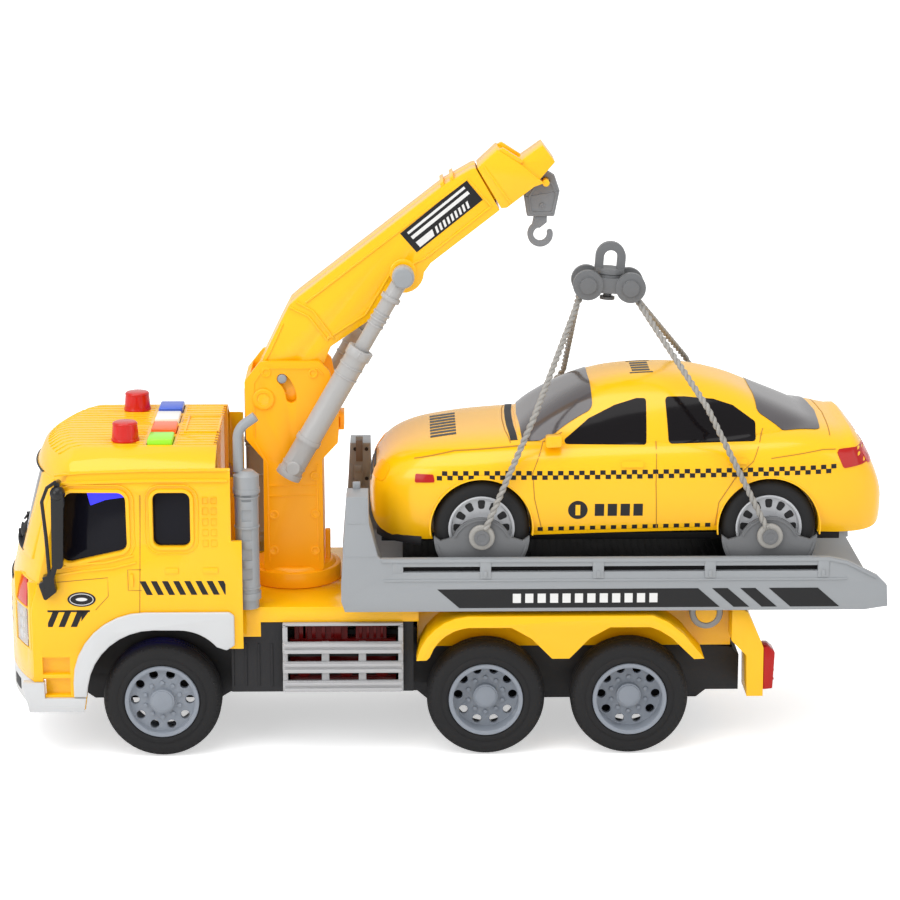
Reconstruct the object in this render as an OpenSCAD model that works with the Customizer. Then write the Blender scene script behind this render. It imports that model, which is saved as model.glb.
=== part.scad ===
// Toy tow truck with a slewing crane, a tilting carrier bed, a taxi and a lifting sling.
// +Z is up, the nose points along -X, and the wheels stand on z = 0.

/* [Wheels] */
// Radius of the truck tyres
tyre_r = 25; // [24:0.5:26]
// Distance between the outer faces of the left and right tyres
track_w = 101; // [100:0.5:102]
// Front axle position along the truck
front_axle_x = -120; // [-121:0.5:-119]
// First rear axle position along the truck
middle_axle_x = 17; // [16:0.5:18]
// Second rear axle position along the truck
rear_axle_x = 78; // [77:0.5:79]
// Diameter of the steel axles
axle_d = 4; // [3.6:0.1:4.2]

/* [Cab] */
// Overall width of the cab
cab_w = 105; // [104:0.5:106]
// Height of the cab roof above the ground
roof_z = 133.5; // [132.5:0.5:134.5]
// Wall thickness of the cab moulding
cab_wall = 2.4; // [2:0.1:2.8]

/* [Crane] */
// Position of the slewing axis along the truck
slew_x = -65; // [-65.5:0.5:-64.5]
// Radius of the slewing base
slew_r = 20; // [19:0.5:20.5]
// Overall thickness of the crane column across the truck
column_w = 30; // [29:0.5:30]
// Overall thickness of the boom across the truck
boom_w = 23; // [22:0.5:23]
// Distance of each cylinder from the centre plane
cylinder_y = 21; // [21:0.5:22]
// Radius of the cylinder barrels
barrel_r = 5; // [4.6:0.1:5]

/* [Carrier bed] */
// Overall width of the bed
bed_w = 108; // [107:0.5:109]
// Height of the side rails above the ground
rail_z = 88.5; // [88:0.5:89]
// Height of the bed hinge pins above the ground
hinge_z = 60.4; // [60:0.1:61]
// Position of the bed hinge pins along the truck
hinge_x = 110.7; // [110:0.1:111]

/* [Load] */
// Radius of the taxi tyres
taxi_tyre_r = 20; // [19:0.5:20]
// Height of the taxi axles above the ground
taxi_axle_z = 98.9; // [98.9:0.1:99.5]
// Height of the pins of the lifting spreader
spreader_z = 194.6; // [194:0.2:196]
// Diameter of the moulded sling legs
leg_d = 2.8; // [2.4:0.1:3]

/* [Hidden] */
$fn = 48;

// Colours
yellow = [1.0, 0.78, 0.06];
amber = [0.98, 0.68, 0.08];
grey = [0.62, 0.64, 0.67];
pale = [0.88, 0.89, 0.91];
black = [0.09, 0.09, 0.1];
steel = [0.75, 0.76, 0.78];
red = [0.85, 0.05, 0.05];
rim_grey = [0.5, 0.55, 0.62];

// Driving sizes worked out from the values above
front_cx = -87.3;        // centre of the curve of the cab front, seen from above
front_r = 100.7;         // radius of that curve at the lamps
wheel_z = tyre_r;
axle_r = axle_d / 2;
running_gap = 0.1;       // radial clearance of a shaft in its bearing
tyre_w = 15.5;
rim_r = 15.6;
track_y = track_w / 2;
box_y = 33;              // half width of the chassis tray
deck_z = 65;             // top of the rear body deck
pivot = [-76.8, 148.1];  // boom pivot in the column
barrel_pivot = [-64.2, 120.3];
knob = [-17.3, 201.8];   // pin between the cylinder rods and the boom
cyl_dir = (knob - barrel_pivot) / norm(knob - barrel_pivot);
cyl_angle = atan2(cyl_dir[1], cyl_dir[0]);
boom_angle = 37.7;
boom_end = [18.2, 237.05];
hook_pivot = [42.8, 239.1];
hook_c = [40.9, 216.2];
mat_z = 76;
load_x = [15.1, 135.7];  // taxi axle positions
ring_x = 70.2;           // centre of the spreader along the truck
spread = 9.1;            // half distance between the spreader pins

// Draws the children's XZ outline between the planes y0 and y1
module xz(y0, y1) translate([0, y1, 0]) rotate([90, 0, 0]) linear_extrude(y1 - y0) children();

// Draws the children on both sides of the truck
module both() { children(); mirror([0, 1, 0]) children(); }

// Round bar across the truck
module cross_bar(p, y0, y1, r) translate([p[0], y1, p[1]]) rotate([90, 0, 0]) cylinder(r = r, h = y1 - y0);

// Arc of points from angle a0 to a1
function arc(c, r, a0, a1, n = 8) = [for (i = [0:n]) c + r * [cos(a0 + (a1 - a0) * i / n), sin(a0 + (a1 - a0) * i / n)]];

// Outline with each corner rounded to radius r
function unit(v) = v / norm(v);
function turn(a) = a > 180 ? a - 360 : (a < -180 ? a + 360 : a);
function corner(p, q, s, r) = let (a = unit(p - q), b = unit(s - q), half = acos(a * b) / 2,
    c = q + unit(a + b) * r / sin(half), m = q + a * r / tan(half), e = q + b * r / tan(half),
    a0 = atan2(m[1] - c[1], m[0] - c[0]), a1 = atan2(e[1] - c[1], e[0] - c[0]))
    arc(c, r, a0, a0 + turn(a1 - a0), 4);
function rounded(pts, r) = [for (i = [0:len(pts) - 1])
    each corner(pts[(i + len(pts) - 1) % len(pts)], pts[i], pts[(i + 1) % len(pts)], r)];
function rect(x0, x1, z0, z1) = [[x0, z0], [x1, z0], [x1, z1], [x0, z1]];

// ---------------------------------------------------------------- cab

// Front curve of the cab as radius and height, from the skirt to the roof
front_profile = [[0, 21], [front_r, 21], [front_r, 66], [99.6, 72], [98, 78.5], [96.5, 86], [93.8, 98],
    [90.5, 111], [87.5, 121], [84, 128.5], [78, roof_z - 1], [74, roof_z], [0, roof_z]];
// Right half of the cab seen from the front
side_profile = [[cab_w / 2, 21], [cab_w / 2, 100], [cab_w / 2 - 0.5, 120], [cab_w / 2 - 1.5, 126],
    [cab_w / 2 - 5, 129.5], [39.5, roof_z - 0.3], [37, roof_z]];
front_window = [[-132.6, 92.6], [-132.9, 117.1], [-157.9, 117.3], [-160.5, 86.4]];
rear_window = rect(-121.6, -106.2, 94, 117.1);

// Cab block shrunk by g on its outer faces, from its front back to x = rear
module cab_form(g, rear) intersection() {
    translate([front_cx, 0, 0]) rotate_extrude($fn = 180)
        polygon([for (p = front_profile) [max(p[0] - g, 0), min(p[1], roof_z - g)]]);
    translate([-200, 0, 0]) rotate([90, 0, 90]) linear_extrude(rear + 200)
        polygon(concat([for (p = side_profile) [p[0] - g, min(p[1], roof_z - g)]],
            [for (i = [len(side_profile) - 1:-1:0]) [g - side_profile[i][0], min(side_profile[i][1], roof_z - g)]]));
}

button_y = [28.5, 9.5, -9.5, -28.5];
button_x = -119.5;
button_size = [10.5, 14, 4];
beacon_x = -134.5;
beacon_y = 28;

module cab_shell() color(yellow) difference() {
    union() {
        difference() {
            cab_form(0, -85);
            cab_form(cab_wall, -80);
        }
        // rear wall and the sunk centre panel that leaves room for the crane
        intersection() {
            cab_form(1, -80);
            union() {
                translate([-93, -52, 49]) cube([2.4, 104, 84]);
                translate([-99.4, -38, 52]) cube([2.4, 76, 81]);
                both() translate([-99.4, 36, 49]) cube([8.8, 2.4, 84]);
            }
        }
        // blocks behind the step wells
        both() translate([-171, 46, 26]) cube([14.5, 5, 22]);
        // sockets that the roof beacons stand in
        both() translate([beacon_x, beacon_y, roof_z - 5]) cylinder(r = 3.4, h = 4);
        // rails that carry the circuit board
        both() translate([-134, 36.9, 119.4]) cube([28, 2, 12.5]);
    }
    // open underside, wheel arches and the room for the bumper
    translate([-200, -60, 0]) cube([49, 120, 22.5]);
    translate([-200, -60, 0]) cube([31.2, 120, 35]);
    both() xz(49.4, 60) polygon(bumper_corner);
    both() cross_bar([-160.4, 121.5], 50.6, 60, 1.2);
    both() translate([0, 34, 0]) xz(0, 30)
        polygon(concat([[-157, 0], [-152.5, 20], [-151.2, 28.4]], arc([-122.5, 29.5], 28.8, 172, 90), arc([-112, 37], 21.2, 90, 40),
            [[-92, 49.2], [-80, 49.2], [-80, 0]]));
    translate([-157, -box_y - 1, 0]) cube([90, 2 * box_y + 2, 52]);
    // sunk rear panel, and the space between the side flanges
    translate([-97, -36, 50]) cube([20, 72, 90]);
    translate([-90.6, -50, 48]) cube([20, 100, 90]);
    // room for the slewing crane behind the roof
    translate([-95.5, -50, 100]) cube([20, 100, 40]);
    translate([-89.4, -60, 96]) cube([20, 120, 40]);
    // windscreen and side windows
    translate([-200, -43, 87]) cube([40, 86, 34]);
    both() xz(45, 60) polygon(rounded(front_window, 3.5));
    both() xz(45, 60) polygon(rounded(rear_window, 3));
    // step wells
    for (z = [29, 38.2]) both() translate([-169.5, 49, z]) cube([11.5, 5, 7.6]);
    // button windows and beacon sockets
    for (y = button_y) translate([button_x - 5.6, y - 7.35, roof_z - 6]) cube([11.2, 14.7, 10]);
    both() translate([beacon_x, beacon_y, roof_z - 6]) cylinder(r = 2.2, h = 10);
    // lamp windows in the front corners
    both() translate([-195, 33.5, 49]) cube([19.6, 17.5, 29]);
}

module cab_glass() color([0.06, 0.07, 0.12]) difference() {
    cab_form(cab_wall, -104);
    cab_form(cab_wall + 1.6, -80);
    translate([-200, -60, 0]) cube([200, 120, 84]);
    translate([-200, -60, 123]) cube([200, 120, 20]);
    translate([-131, -40, 80]) cube([40, 80, 60]);
}

module cab_interior() color([0.1, 0.12, 0.55]) {
    // floor pan with two seats and the dashboard
    translate([-156, -32.5, 52]) cube([52, 65, 2]);
    for (y = [-18, 18]) translate([0, y, 0]) {
        translate([-132, -11, 54]) cube([24, 22, 26]);
        translate([-112, -11, 80]) cube([5, 22, 26]);
    }
    translate([-160, -32.5, 70]) cube([8, 65, 16]);
    translate([-156, -32.5, 54]) cube([4, 65, 16]);
}

// Outline of the pieces that carry the bumper round to the wheel arches
bumper_corner = [[-175.5, 22], [-152.5, 22], [-151.5, 28], [-168.9, 28], [-168.9, 34.8], [-178, 34.8]];

module bumper() color(pale) {
    difference() {
        intersection() {
            translate([front_cx, 0, 0]) rotate_extrude($fn = 180)
                polygon([[97.2, 22], [99.6, 22], [front_r, 24], [front_r, 34.8], [97.2, 34.8]]);
            translate([-200, -cab_w / 2, 0]) cube([40, cab_w, 60]);
        }
        // number plate recess
        translate([-189.2, -13, 25]) cube([1.8, 26, 7]);
    }
    both() xz(49.5, 54) polygon(bumper_corner);
}

module wheel_arch_trims() color(pale) both() xz(cab_w / 2, 54.3) polygon(concat(
    [[-151.2, 28.4], [-156.6, 28.4]],
    arc([-126, 35], 30.6, 180, 90), [[-90.5, 65.6], [-88.6, 64], [-88.6, 51], [-92, 48.8]],
    arc([-112, 37], 20.7, 40, 90), arc([-122.5, 29.5], 28.3, 90, 172)));

module headlamp_lenses() color([0.85, 0.9, 0.95]) lamp_band(49.2, 66.2);
module marker_lenses() color(red) lamp_band(66.4, 77.8);
// Lenses at the two front corners between two heights
module lamp_band(z0, z1) intersection() {
    translate([front_cx, 0, 0]) rotate_extrude($fn = 180) translate([95.8, z0]) square([4.9, z1 - z0]);
    both() translate([-195, 34, z0]) cube([19.2, 16.3, z1 - z0]);
    cab_form(0, -85);
}

module mirrors() color(black) both() {
    // long mirror head, and the two arms that hold it
    xz(54, 58) polygon(rounded([[-163.4, 86], [-158.8, 86], [-157.6, 119], [-162.8, 119]], 1.8));
    translate([-160.2, 56, 118]) sphere(r = 3.2);
    cross_bar([-160.4, 121.5], 50.6, 56, 1.2);
    xz(54.6, 57) polygon([[-163.4, 87], [-161, 87], [-164, 78], [-166.4, 78]]);
    xz(cab_w / 2, 57) polygon([[-167.6, 82], [-163, 84], [-162.4, 76], [-166, 73]]);
}

module roof_beacons() color(red) both() translate([beacon_x, beacon_y, 0]) {
    translate([0, 0, roof_z]) cylinder(r1 = 5.8, r2 = 5.1, h = 8.2);
    translate([0, 0, roof_z - 4]) cylinder(r = 2.2, h = 4.2);
}

module exhaust_stacks() color(grey) both() translate([-83.1, 44, 0]) {
    translate([0, 0, deck_z]) cylinder(r = 4.6, h = 5);
    translate([0, 0, 69]) cylinder(r = 5.5, h = 3);
    difference() {
        translate([0, 0, 72]) cylinder(r = 5, h = 44);
        for (z = [78:8.5:112]) translate([-1.8, 4.2, z]) cube([4, 3, 5]);
    }
    translate([0, 0, 115]) cylinder(r = 5.7, h = 2);
    translate([0, 0, 117]) cylinder(r = 5.4, h = 5.5);
    translate([0, 0, 122.5]) cylinder(r1 = 5.4, r2 = 3, h = 2);
    // bent tail pipe
    translate([-3.2, 0, 124]) cylinder(r = 2.1, h = 14);
    translate([4.8, 0, 138]) rotate([90, 0, 180]) rotate_extrude(angle = 55) translate([8, 0]) circle(r = 2.1);
    translate([4.8, 0, 138]) rotate([0, 55, 0]) translate([-8, 0, 0]) cylinder(r = 2.1, h = 5);
}

// ---------------------------------------------------------------- chassis

tray = [[-168, 34], [-150, 21], [-96, 21], [-92, 23.5], [-12, 23.5], [-8, 20], [65, 20], [65, 12.2], [91, 12.2], [91, 20],
    [108, 20], [112, 23.3],
    [126, 23.3], [126, 39], [122, 42.5], [110, 44], [-12, 44], [-12, 52], [-157, 52], [-168, 46]];
tray_hollow = [[-160, 34], [-149, 23.4], [-97, 23.4], [-93, 26], [-11, 26], [-7, 22.4], [67.4, 22.4], [67.4, 14.5],
    [88.6, 14.5], [88.6, 22.4], [107, 22.4], [111, 25.7],
    [123.6, 25.7], [123.6, 60], [-160, 60]];
screw_spots = [[-102, 24], [-2, 24], [104, 24]];

module chassis_frame() color(black) difference() {
    union() {
        difference() {
            xz(-box_y, box_y) polygon(tray);
            xz(-box_y + 2.4, box_y - 2.4) polygon(tray_hollow);
        }
        // side skirts with the engine bays
        both() difference() {
            translate([-90.6, box_y - 0.2, 27.4]) cube([77, 12, 24.6]);
            translate([-68, box_y + 3, 30]) cube([49.4, 20, 30]);
        }
        both() for (x = [-78, -18.6]) translate([x, box_y - 0.2, 48]) cube([x < -50 ? 10 : 5, 12, 10.2]);
        // screw posts
        for (p = screw_spots) both() translate([p[0], p[1], 21]) cylinder(r = 3.6, h = p[0] > -10 ? 23 : 31);
        // bearing blocks
        for (x = [front_axle_x, middle_axle_x, rear_axle_x]) both() cross_bar([x, wheel_z], 29.8, box_y + 0.8, 4.4);
    }
    for (x = [front_axle_x, middle_axle_x, rear_axle_x]) cross_bar([x, wheel_z], -50, 50, axle_r + running_gap);
    for (p = screw_spots) both() translate([p[0], p[1], 0]) {
        cylinder(r = 1.2, h = 60);
        cylinder(r = 2.8, h = 23);
    }
    // battery opening, sound holes
    translate([-82, -24.5, 10]) cube([56, 49, 20]);
    for (a = [0:45:315]) translate([47.5 + 7 * cos(a), 7 * sin(a), 10]) cylinder(r = 1.5, h = 14);
}

module battery_cover() color(black) difference() {
    union() {
        translate([-84, -26.5, 21.8]) cube([60, 53, 1.7]);
        translate([-81.8, -24.3, 23.5]) cube([55.6, 48.6, 1.2]);
    }
    translate([-28.5, 0, 20]) cylinder(r = 1.3, h = 10);
}

module batteries() color([0.75, 0.6, 0.25]) for (y = [-16, 0, 16]) translate([-79.5, y, 32]) rotate([0, 90, 0]) {
    cylinder(r = 7.25, h = 49);
    translate([0, 0, 49]) cylinder(r = 2.7, h = 1.5);
}

module circuit_board() color([0.1, 0.45, 0.2]) {
    translate([-133, -36.8, 119.6]) cube([26, 73.6, 1.6]);
    // one push switch under each button
    for (y = button_y) translate([button_x - 3, y - 3, 121.2]) cube([6, 6, 3.4]);
}

module speaker() color([0.25, 0.25, 0.27]) translate([47.5, 0, 22.4]) {
    cylinder(r = 14, h = 2.5);
    translate([0, 0, 2.5]) cylinder(r1 = 12, r2 = 7, h = 4);
    translate([0, 0, 6.5]) cylinder(r = 7, h = 3.5);
}

gear_teeth = 24;
pinion_teeth = 8;
gear_module = 0.8;
gear_r = gear_teeth * gear_module / 2;
pinion_r = pinion_teeth * gear_module / 2;
flywheel_z = wheel_z + gear_r + pinion_r;

// Toothed wheel with n narrow teeth on pitch radius r, turned by a
module gear_outline(n, r, a = 0) {
    circle(r = r - 0.7);
    for (i = [0:n - 1]) rotate(a + 360 * i / n) polygon([[r - 1.2, -0.5], [r + 0.5, -0.3], [r + 0.5, 0.3], [r - 1.2, 0.5]]);
}

module gearbox_case() color([0.85, 0.85, 0.82]) difference() {
    translate([rear_axle_x - 12, -13, 22.4]) cube([24, 25, 30]);
    translate([rear_axle_x - 10.6, -11.4, 10]) cube([21.2, 21.8, 41]);
    cross_bar([rear_axle_x, wheel_z], -20, 20, axle_r + running_gap);
    cross_bar([rear_axle_x, flywheel_z], -20, 20, 1.5 + running_gap);
}

module assembly_screws() color(steel) {
    for (p = screw_spots) both() translate([p[0], p[1], 0]) {
        translate([0, 0, 21.4]) cylinder(r = 2.5, h = 1.6);
        cylinder_shank(23, 17);
    }
    translate([-28.5, 0, 20.8]) cylinder(r = 2.2, h = 1);
    translate([-28.5, 0, 21.8]) cylinder(r = 1.3, h = 2.9);
}
module cylinder_shank(z, h) translate([0, 0, z]) cylinder(r = 1.2, h = h);

module engine_guards() color(pale) both() {
    for (z = [29, 37.4, 46]) {
        translate([-68.8, 47.6, z]) cube([50.9, 1.8, 4.6]);
        translate([-68.2, 49.4, z]) cube([49.7, 1, 1.6]);
        translate([-68.2, 49.4, z + 2.8]) cube([49.7, 1, 1.4]);
    }
    for (x = [-52.4, -36.8]) translate([x, 46.4, 29]) cube([3.2, 1.8, 21.4]);
    for (x = [-68.8, -20]) translate([x, 44.8, 29]) cube([2.1, 3.4, 27.8]);
}

module engine_blocks() color([0.45, 0.03, 0.05]) both() {
    translate([-66, 36, 30]) cube([45, 7, 20]);
    for (x = [-62, -47.5]) translate([x, 36, 50]) cube([3.4, 7.6, 8]);
    translate([-64, 36, 50]) cube([22.5, 6.6, 6.6]);
    translate([-38, 36, 50]) cube([13, 6.6, 6.8]);
    for (x = [-60, -42, -27]) cross_bar([x, 36.8], 43, 45.4, 3);
}

// ---------------------------------------------------------------- rear body

fender_line = concat(
    [[-8, 44], [-12.4, 43.8]], arc([10.8, 39.8], 23.4, 168, 94, 6), [[87, 63.2], [93.6, 60.2], [100.2, 54.7], [108.9, 44.2]],
    [[104.6, 44], [95, 53.4], [90, 56.6], [86, 58.2], [69, 58.2], [60.5, 53.4], [52, 44.5], [44.7, 44.5],
     [36, 53.4], [27.5, 58.2], [9.5, 58.2]], arc([10.8, 39.8], 18.4, 100, 162, 5));
tail_line = [[121, 65], [124.6, 64.4], [127.7, 62.4], [133.7, 49.2], [134.6, 46.7], [134.8, 25.3], [127.9, 25.3],
    [127.4, 43.4], [121, 50]];

module rear_body() color(yellow) difference() {
    union() {
        // deck, its side walls and the cross wall behind the cab
        translate([-88, -45, 62]) cube([76.5, 90, 3]);
        translate([-12, -36, 62]) cube([134, 72, 3]);
        both() translate([-12, 32, 44]) cube([134, 2.6, 18.5]);
        both() translate([-88, 42.4, 52]) cube([10, 2.6, 11]);
        both() translate([-79, 42.4, 58.4]) cube([67.4, 2.6, 4]);
        translate([-88, -45, 52]) cube([2.6, 90, 11]);
        both() translate([-14, 32, 58.4]) cube([2.6, 13, 4]);
        // double mudguards
        both() xz(34, bed_w / 2) polygon(fender_line);
        xz(-48, 48) polygon(tail_line);
        both() cross_bar([hinge_x, hinge_z], 34, 41.3, 4.5);
        // screw posts
        for (p = screw_spots) if (p[0] > -50) both() translate([p[0], p[1], 44]) cylinder(r = 3.6, h = 18.5);
        // collar of the slewing bearing
        translate([slew_x, 0, 60]) cylinder(r = 14, h = 3);
    }
    translate([slew_x, 0, 50]) cylinder(r = 8 + running_gap, h = 20);
    for (p = screw_spots) both() translate([p[0], p[1], 40]) cylinder(r = 1.2, h = 12);
    // the tail panel is open between its two lamp plates
    translate([120, -30, 20]) cube([20, 60, 20]);
}

module tail_lights() color(red) both() xz(38, 47.6) polygon([[134.8, 28], [138.9, 28.4], [139.6, 44.6], [137, 47], [134.7, 47]]);

// ---------------------------------------------------------------- wheels

// Tyre ring on the outer side of the truck, x and z of the axle given
module tyre(x, z, r, inner, w, y1) translate([x, y1, z]) rotate([90, 0, 0]) rotate_extrude($fn = 96)
    polygon([[inner, 0.6], [inner + 1.5, 0], [r - 4, 0.3], [r - 1.2, 1.2], [r, 2.8], [r, w - 2.8],
        [r - 1.2, w - 1.2], [r - 4, w - 0.3], [inner + 1.5, w], [inner, w - 0.6]]);

// Wheel rim: barrel, perforated disc at depth d behind the outer face, and hub
module rim(x, d, hole_r, hole_ring) translate([x, track_y - 0.2, wheel_z]) rotate([90, 0, 0]) difference() {
    union() {
        rotate_extrude($fn = 96) polygon([[13.9, 0], [rim_r, 0], [rim_r, 15], [14.2, 15], [13.9, 6]]);
        translate([0, 0, d]) cylinder(r = 14.3, h = 2.2);
        translate([0, 0, d - 2.6]) cylinder(r = 5.2, h = 4);
        translate([0, 0, d]) cylinder(r = 4, h = 15 - d);
        for (i = [0:9]) rotate(36 * i + 18) translate([7.6, 0, d - 0.9]) cylinder(r = 0.9, h = 2);
    }
    translate([0, 0, d - 1.4]) cylinder(r = axle_r, h = 20);
    for (i = [0:9]) rotate(36 * i) translate([hole_ring, 0, d - 1]) cylinder(r = hole_r, h = 5);
}

module truck_axle(x) color(steel) cross_bar([x, wheel_z], -44, 44, axle_r);
module truck_tyres(x) color(black) both() tyre(x, wheel_z, tyre_r, rim_r, tyre_w, track_y);
module front_axle() truck_axle(front_axle_x);
module front_tyres() truck_tyres(front_axle_x);
module front_rims() color(rim_grey) both() rim(front_axle_x, 3.2, 1.9, 11.6);
module middle_axle() truck_axle(middle_axle_x);
module middle_tyres() truck_tyres(middle_axle_x);
module middle_rims() color(rim_grey) both() rim(middle_axle_x, 7.6, 1.9, 11.6);
module rear_axle() truck_axle(rear_axle_x);
module rear_tyres() truck_tyres(rear_axle_x);
module rear_rims() color(rim_grey) both() rim(rear_axle_x, 7.6, 1.9, 11.6);

module drive_gear() color("white") translate([rear_axle_x, 8, wheel_z]) rotate([90, 0, 0]) linear_extrude(4) difference() {
    gear_outline(gear_teeth, gear_r);
    circle(r = axle_r);
}
module flywheel() color(steel) translate([rear_axle_x, 0, flywheel_z]) {
    translate([0, 8.2, 0]) rotate([90, 0, 0]) linear_extrude(4.4) gear_outline(pinion_teeth, pinion_r, 180 / pinion_teeth);
    cross_bar([0, 0], -13.4, 12.4, 1.5);
    cross_bar([0, 0], -8, 1, 9);
}

// ---------------------------------------------------------------- crane

column_line = [[-77.7, 72.1], [-52, 72.1], [-52.2, 121.5], [-45.4, 128.8], [-44.9, 141.1], [-48.6, 159.9],
    [-52.8, 164.2], [-78, 164.3], [-84.8, 155.7], [-84.5, 130.4], [-77.3, 121.6]];
column_hollow = [[-75.4, 74.5], [-54.4, 74.5], [-54.6, 122.4], [-47.8, 129.7], [-47.8, 139], [-40, 139],
    [-40, 170], [-82.3, 170], [-82.3, 131.3], [-75, 122.5]];
slot_r = 11.8;
slot_top = 47.4;         // angle of the stop pin with the boom raised
slot_travel = 45.4;
slot_line = let (low = slot_top - slot_travel) concat(arc([0, 0], slot_r + 2.3, low, slot_top),
    arc(slot_r * [cos(slot_top), sin(slot_top)], 2.3, slot_top + 30, slot_top + 150, 4),
    arc([0, 0], slot_r - 2.3, slot_top, low), arc(slot_r * [cos(low), sin(low)], 2.3, low + 210, low + 330, 4));

module turret_base() color(amber) difference() {
    union() {
        translate([slew_x, 0, deck_z + 0.3]) cylinder(r = slew_r, h = 6.8, $fn = 96);
        translate([slew_x, 0, 58]) cylinder(r = 8, h = 7.5);
        translate([slew_x, 0, 57]) cylinder(r = 11, h = 2.7);
        // locking lever behind the column
        translate([-51.6, -2, 71.5]) cube([2.2, 4, 15]);
    }
    // wire passage
    translate([slew_x, 0, 50]) cylinder(r = 3, h = 30);
}

// One half of the column; the other is its mirror image
module column_half() difference() {
    union() {
        difference() {
            xz(0, column_w / 2) polygon(rounded(column_line, 1.5));
            xz(-1, column_w / 2 - 2.8) polygon(column_hollow);
        }
        // screw posts, which meet in the middle of the column
        for (p = [[-73, 78.5], [-56.5, 78.5], [-73, 98], [-56.5, 98]]) cross_bar(p, 0, column_w / 2 - 2, 2.2);
    }
    cross_bar(pivot, -1, 20, 3);
    cross_bar(barrel_pivot, -1, 20, axle_r + running_gap);
    // arc slot for the stop pin
    xz(-1, 20) translate(pivot) polygon(slot_line);
}

module turret_right_shell() color(amber) column_half();
module turret_left_shell() color(amber) mirror([0, 1, 0]) column_half();

module boom_pivot_pin() color(yellow) cross_bar(pivot, -15.6, 15.6, 3);

// Boom outline: curved neck, tapering arm and the lug for the cylinder pin
boom_line = concat([[-77, 164.7], [-73.6, 171.6], [-69.8, 179.4], [-65.4, 187.9], [-62, 190.9], [0, 238.9], [11.4, 245.4],
    [13.1, 245.9], [23.3, 228.2], [-5.6, 205.8]], arc([-17.3, 201.8], 8.8, 0, -95, 6),
    [[-31.1, 181.8], [-48.1, 170], [-50.8, 163.7], [-53.5, 152], [-66, 142.5], [-77.5, 142.5], [-81.3, 146], [-81.3, 156]]);
boom_hollow = [[-75, 165], [-68, 178], [-61.6, 188], [-1, 236], [10, 242.3], [30, 258], [40, 244.4], [20, 228.6],
    [-8, 208.6], [-12, 206], [-24, 206], [-30, 190], [-36, 181], [-50, 171.5], [-56, 154], [-64, 154]];

module boom_half() difference() {
    union() {
        difference() {
            xz(0, boom_w / 2) polygon(boom_line);
            xz(-1, boom_w / 2 - 2) polygon(boom_hollow);
        }
        cross_bar(pivot, 0, boom_w / 2, 4.4);
        xz(0, boom_w / 2 - 1) polygon([[-29, 190.6], [-22, 206.6], [-20, 206.6], [-27, 190.6]]);
    }
    cross_bar(pivot, -1, 20, 3 + running_gap);
    cross_bar(knob, -1, 20, 2);
    cross_bar(pivot + slot_r * [cos(slot_top), sin(slot_top)], -1, 20, 2);
}

module boom_right_shell() color(yellow) boom_half();
module boom_left_shell() color(yellow) mirror([0, 1, 0]) boom_half();

module boom_pins() color(grey) {
    // cylinder pin with its two caps, and the stop pin that rides in the arc slots
    cross_bar(knob, -25, 25, 2);
    both() cross_bar(knob, 24.4, 26, 4.2);
    cross_bar(pivot + slot_r * [cos(slot_top), sin(slot_top)], -15.4, 15.4, 2);
}

module boom_extension() color(yellow) {
    difference() {
        union() {
            // tongue inside the boom
            translate([boom_end[0], 0, boom_end[1]]) rotate([0, -boom_angle, 0]) translate([-42, -9, -5.6]) cube([46, 18, 11.6]);
            // head that carries the hook
            xz(-boom_w / 2, boom_w / 2) polygon([[13.9, 245.9], [22.2, 253.6], [31.6, 247.7], [41.8, 239.4], [37.8, 238],
                [26.4, 229.2], [24, 228.9]]);
            xz(-9.5, 9.5) polygon([[31, 248], [41.2, 255.2], [46.5, 248.1], [38, 238.2], [33, 241]]);
        }
        // slot in the head for the hook block
        translate([29.8, -3.6, 225]) cube([13.6, 7.2, 20.6]);
        translate([40, -3.6, 225]) cube([12, 7.2, 22.5]);
    }
    cross_bar(hook_pivot, -9, 9, 1.5);
}

block_line = [[33.9, 232.5], [38, 243], [43.6, 243.2], [46.8, 241.2], [48.9, 235], [46.7, 224.1], [35.2, 224.1]];
module hook_block() color(grey) difference() {
    xz(-3, 3) polygon(rounded(block_line, 0.8));
    cross_bar(hook_pivot, -5, 5, 1.5 + running_gap);
}

module hook() color(grey) {
    xz(-1.5, 1.5) polygon([[38.2, 224.1], [43.7, 224.1], [43.7, 221.3], [40.6, 218.8], [37.4, 220]]);
    translate([hook_c[0], 1.5, hook_c[1]]) rotate([90, 0, 0]) {
        rotate([0, 0, 100]) rotate_extrude(angle = 270) translate([2.9, 0]) square([2.5, 3]);
        rotate(10) translate([4.15, 0, 0]) cylinder(r = 1.25, h = 3);
    }
}

// Places the children along the cylinders, with local z running up the cylinder from its foot
cyl_foot = barrel_pivot - 5 * cyl_dir;
module along_cylinder(y) translate([cyl_foot[0], y, cyl_foot[1]]) rotate([0, 90 - cyl_angle, 0]) children();

module cylinder_barrels() color(grey) for (y = [-cylinder_y, cylinder_y]) difference() {
    along_cylinder(y) {
        cylinder(r = barrel_r + 0.6, h = 2.6);
        cylinder(r = barrel_r, h = 63.5);
        translate([0, 0, 17]) cylinder(r = barrel_r + 0.5, h = 2.2);
        translate([0, 0, 59.5]) cylinder(r = barrel_r + 0.6, h = 4);
    }
    along_cylinder(y) translate([0, 0, 9]) cylinder(r = 3.5, h = 60);
    cross_bar(barrel_pivot, y - 10, y + 10, axle_r);
}
module barrel_pin() color(grey) cross_bar(barrel_pivot, -cylinder_y - barrel_r, cylinder_y + barrel_r, axle_r);

module cylinder_rods() color(grey) for (y = [-cylinder_y, cylinder_y]) difference() {
    union() {
        along_cylinder(y) translate([0, 0, 26]) cylinder(r = 3.3, h = 69);
        along_cylinder(y) translate([0, 0, 87.6]) cylinder(r = 4.3, h = 1.8);
        cross_bar(knob, y - 3, y + 3, 4.6);
    }
    cross_bar(knob, y - 10, y + 10, 2.4);
}

// ---------------------------------------------------------------- carrier bed

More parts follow.
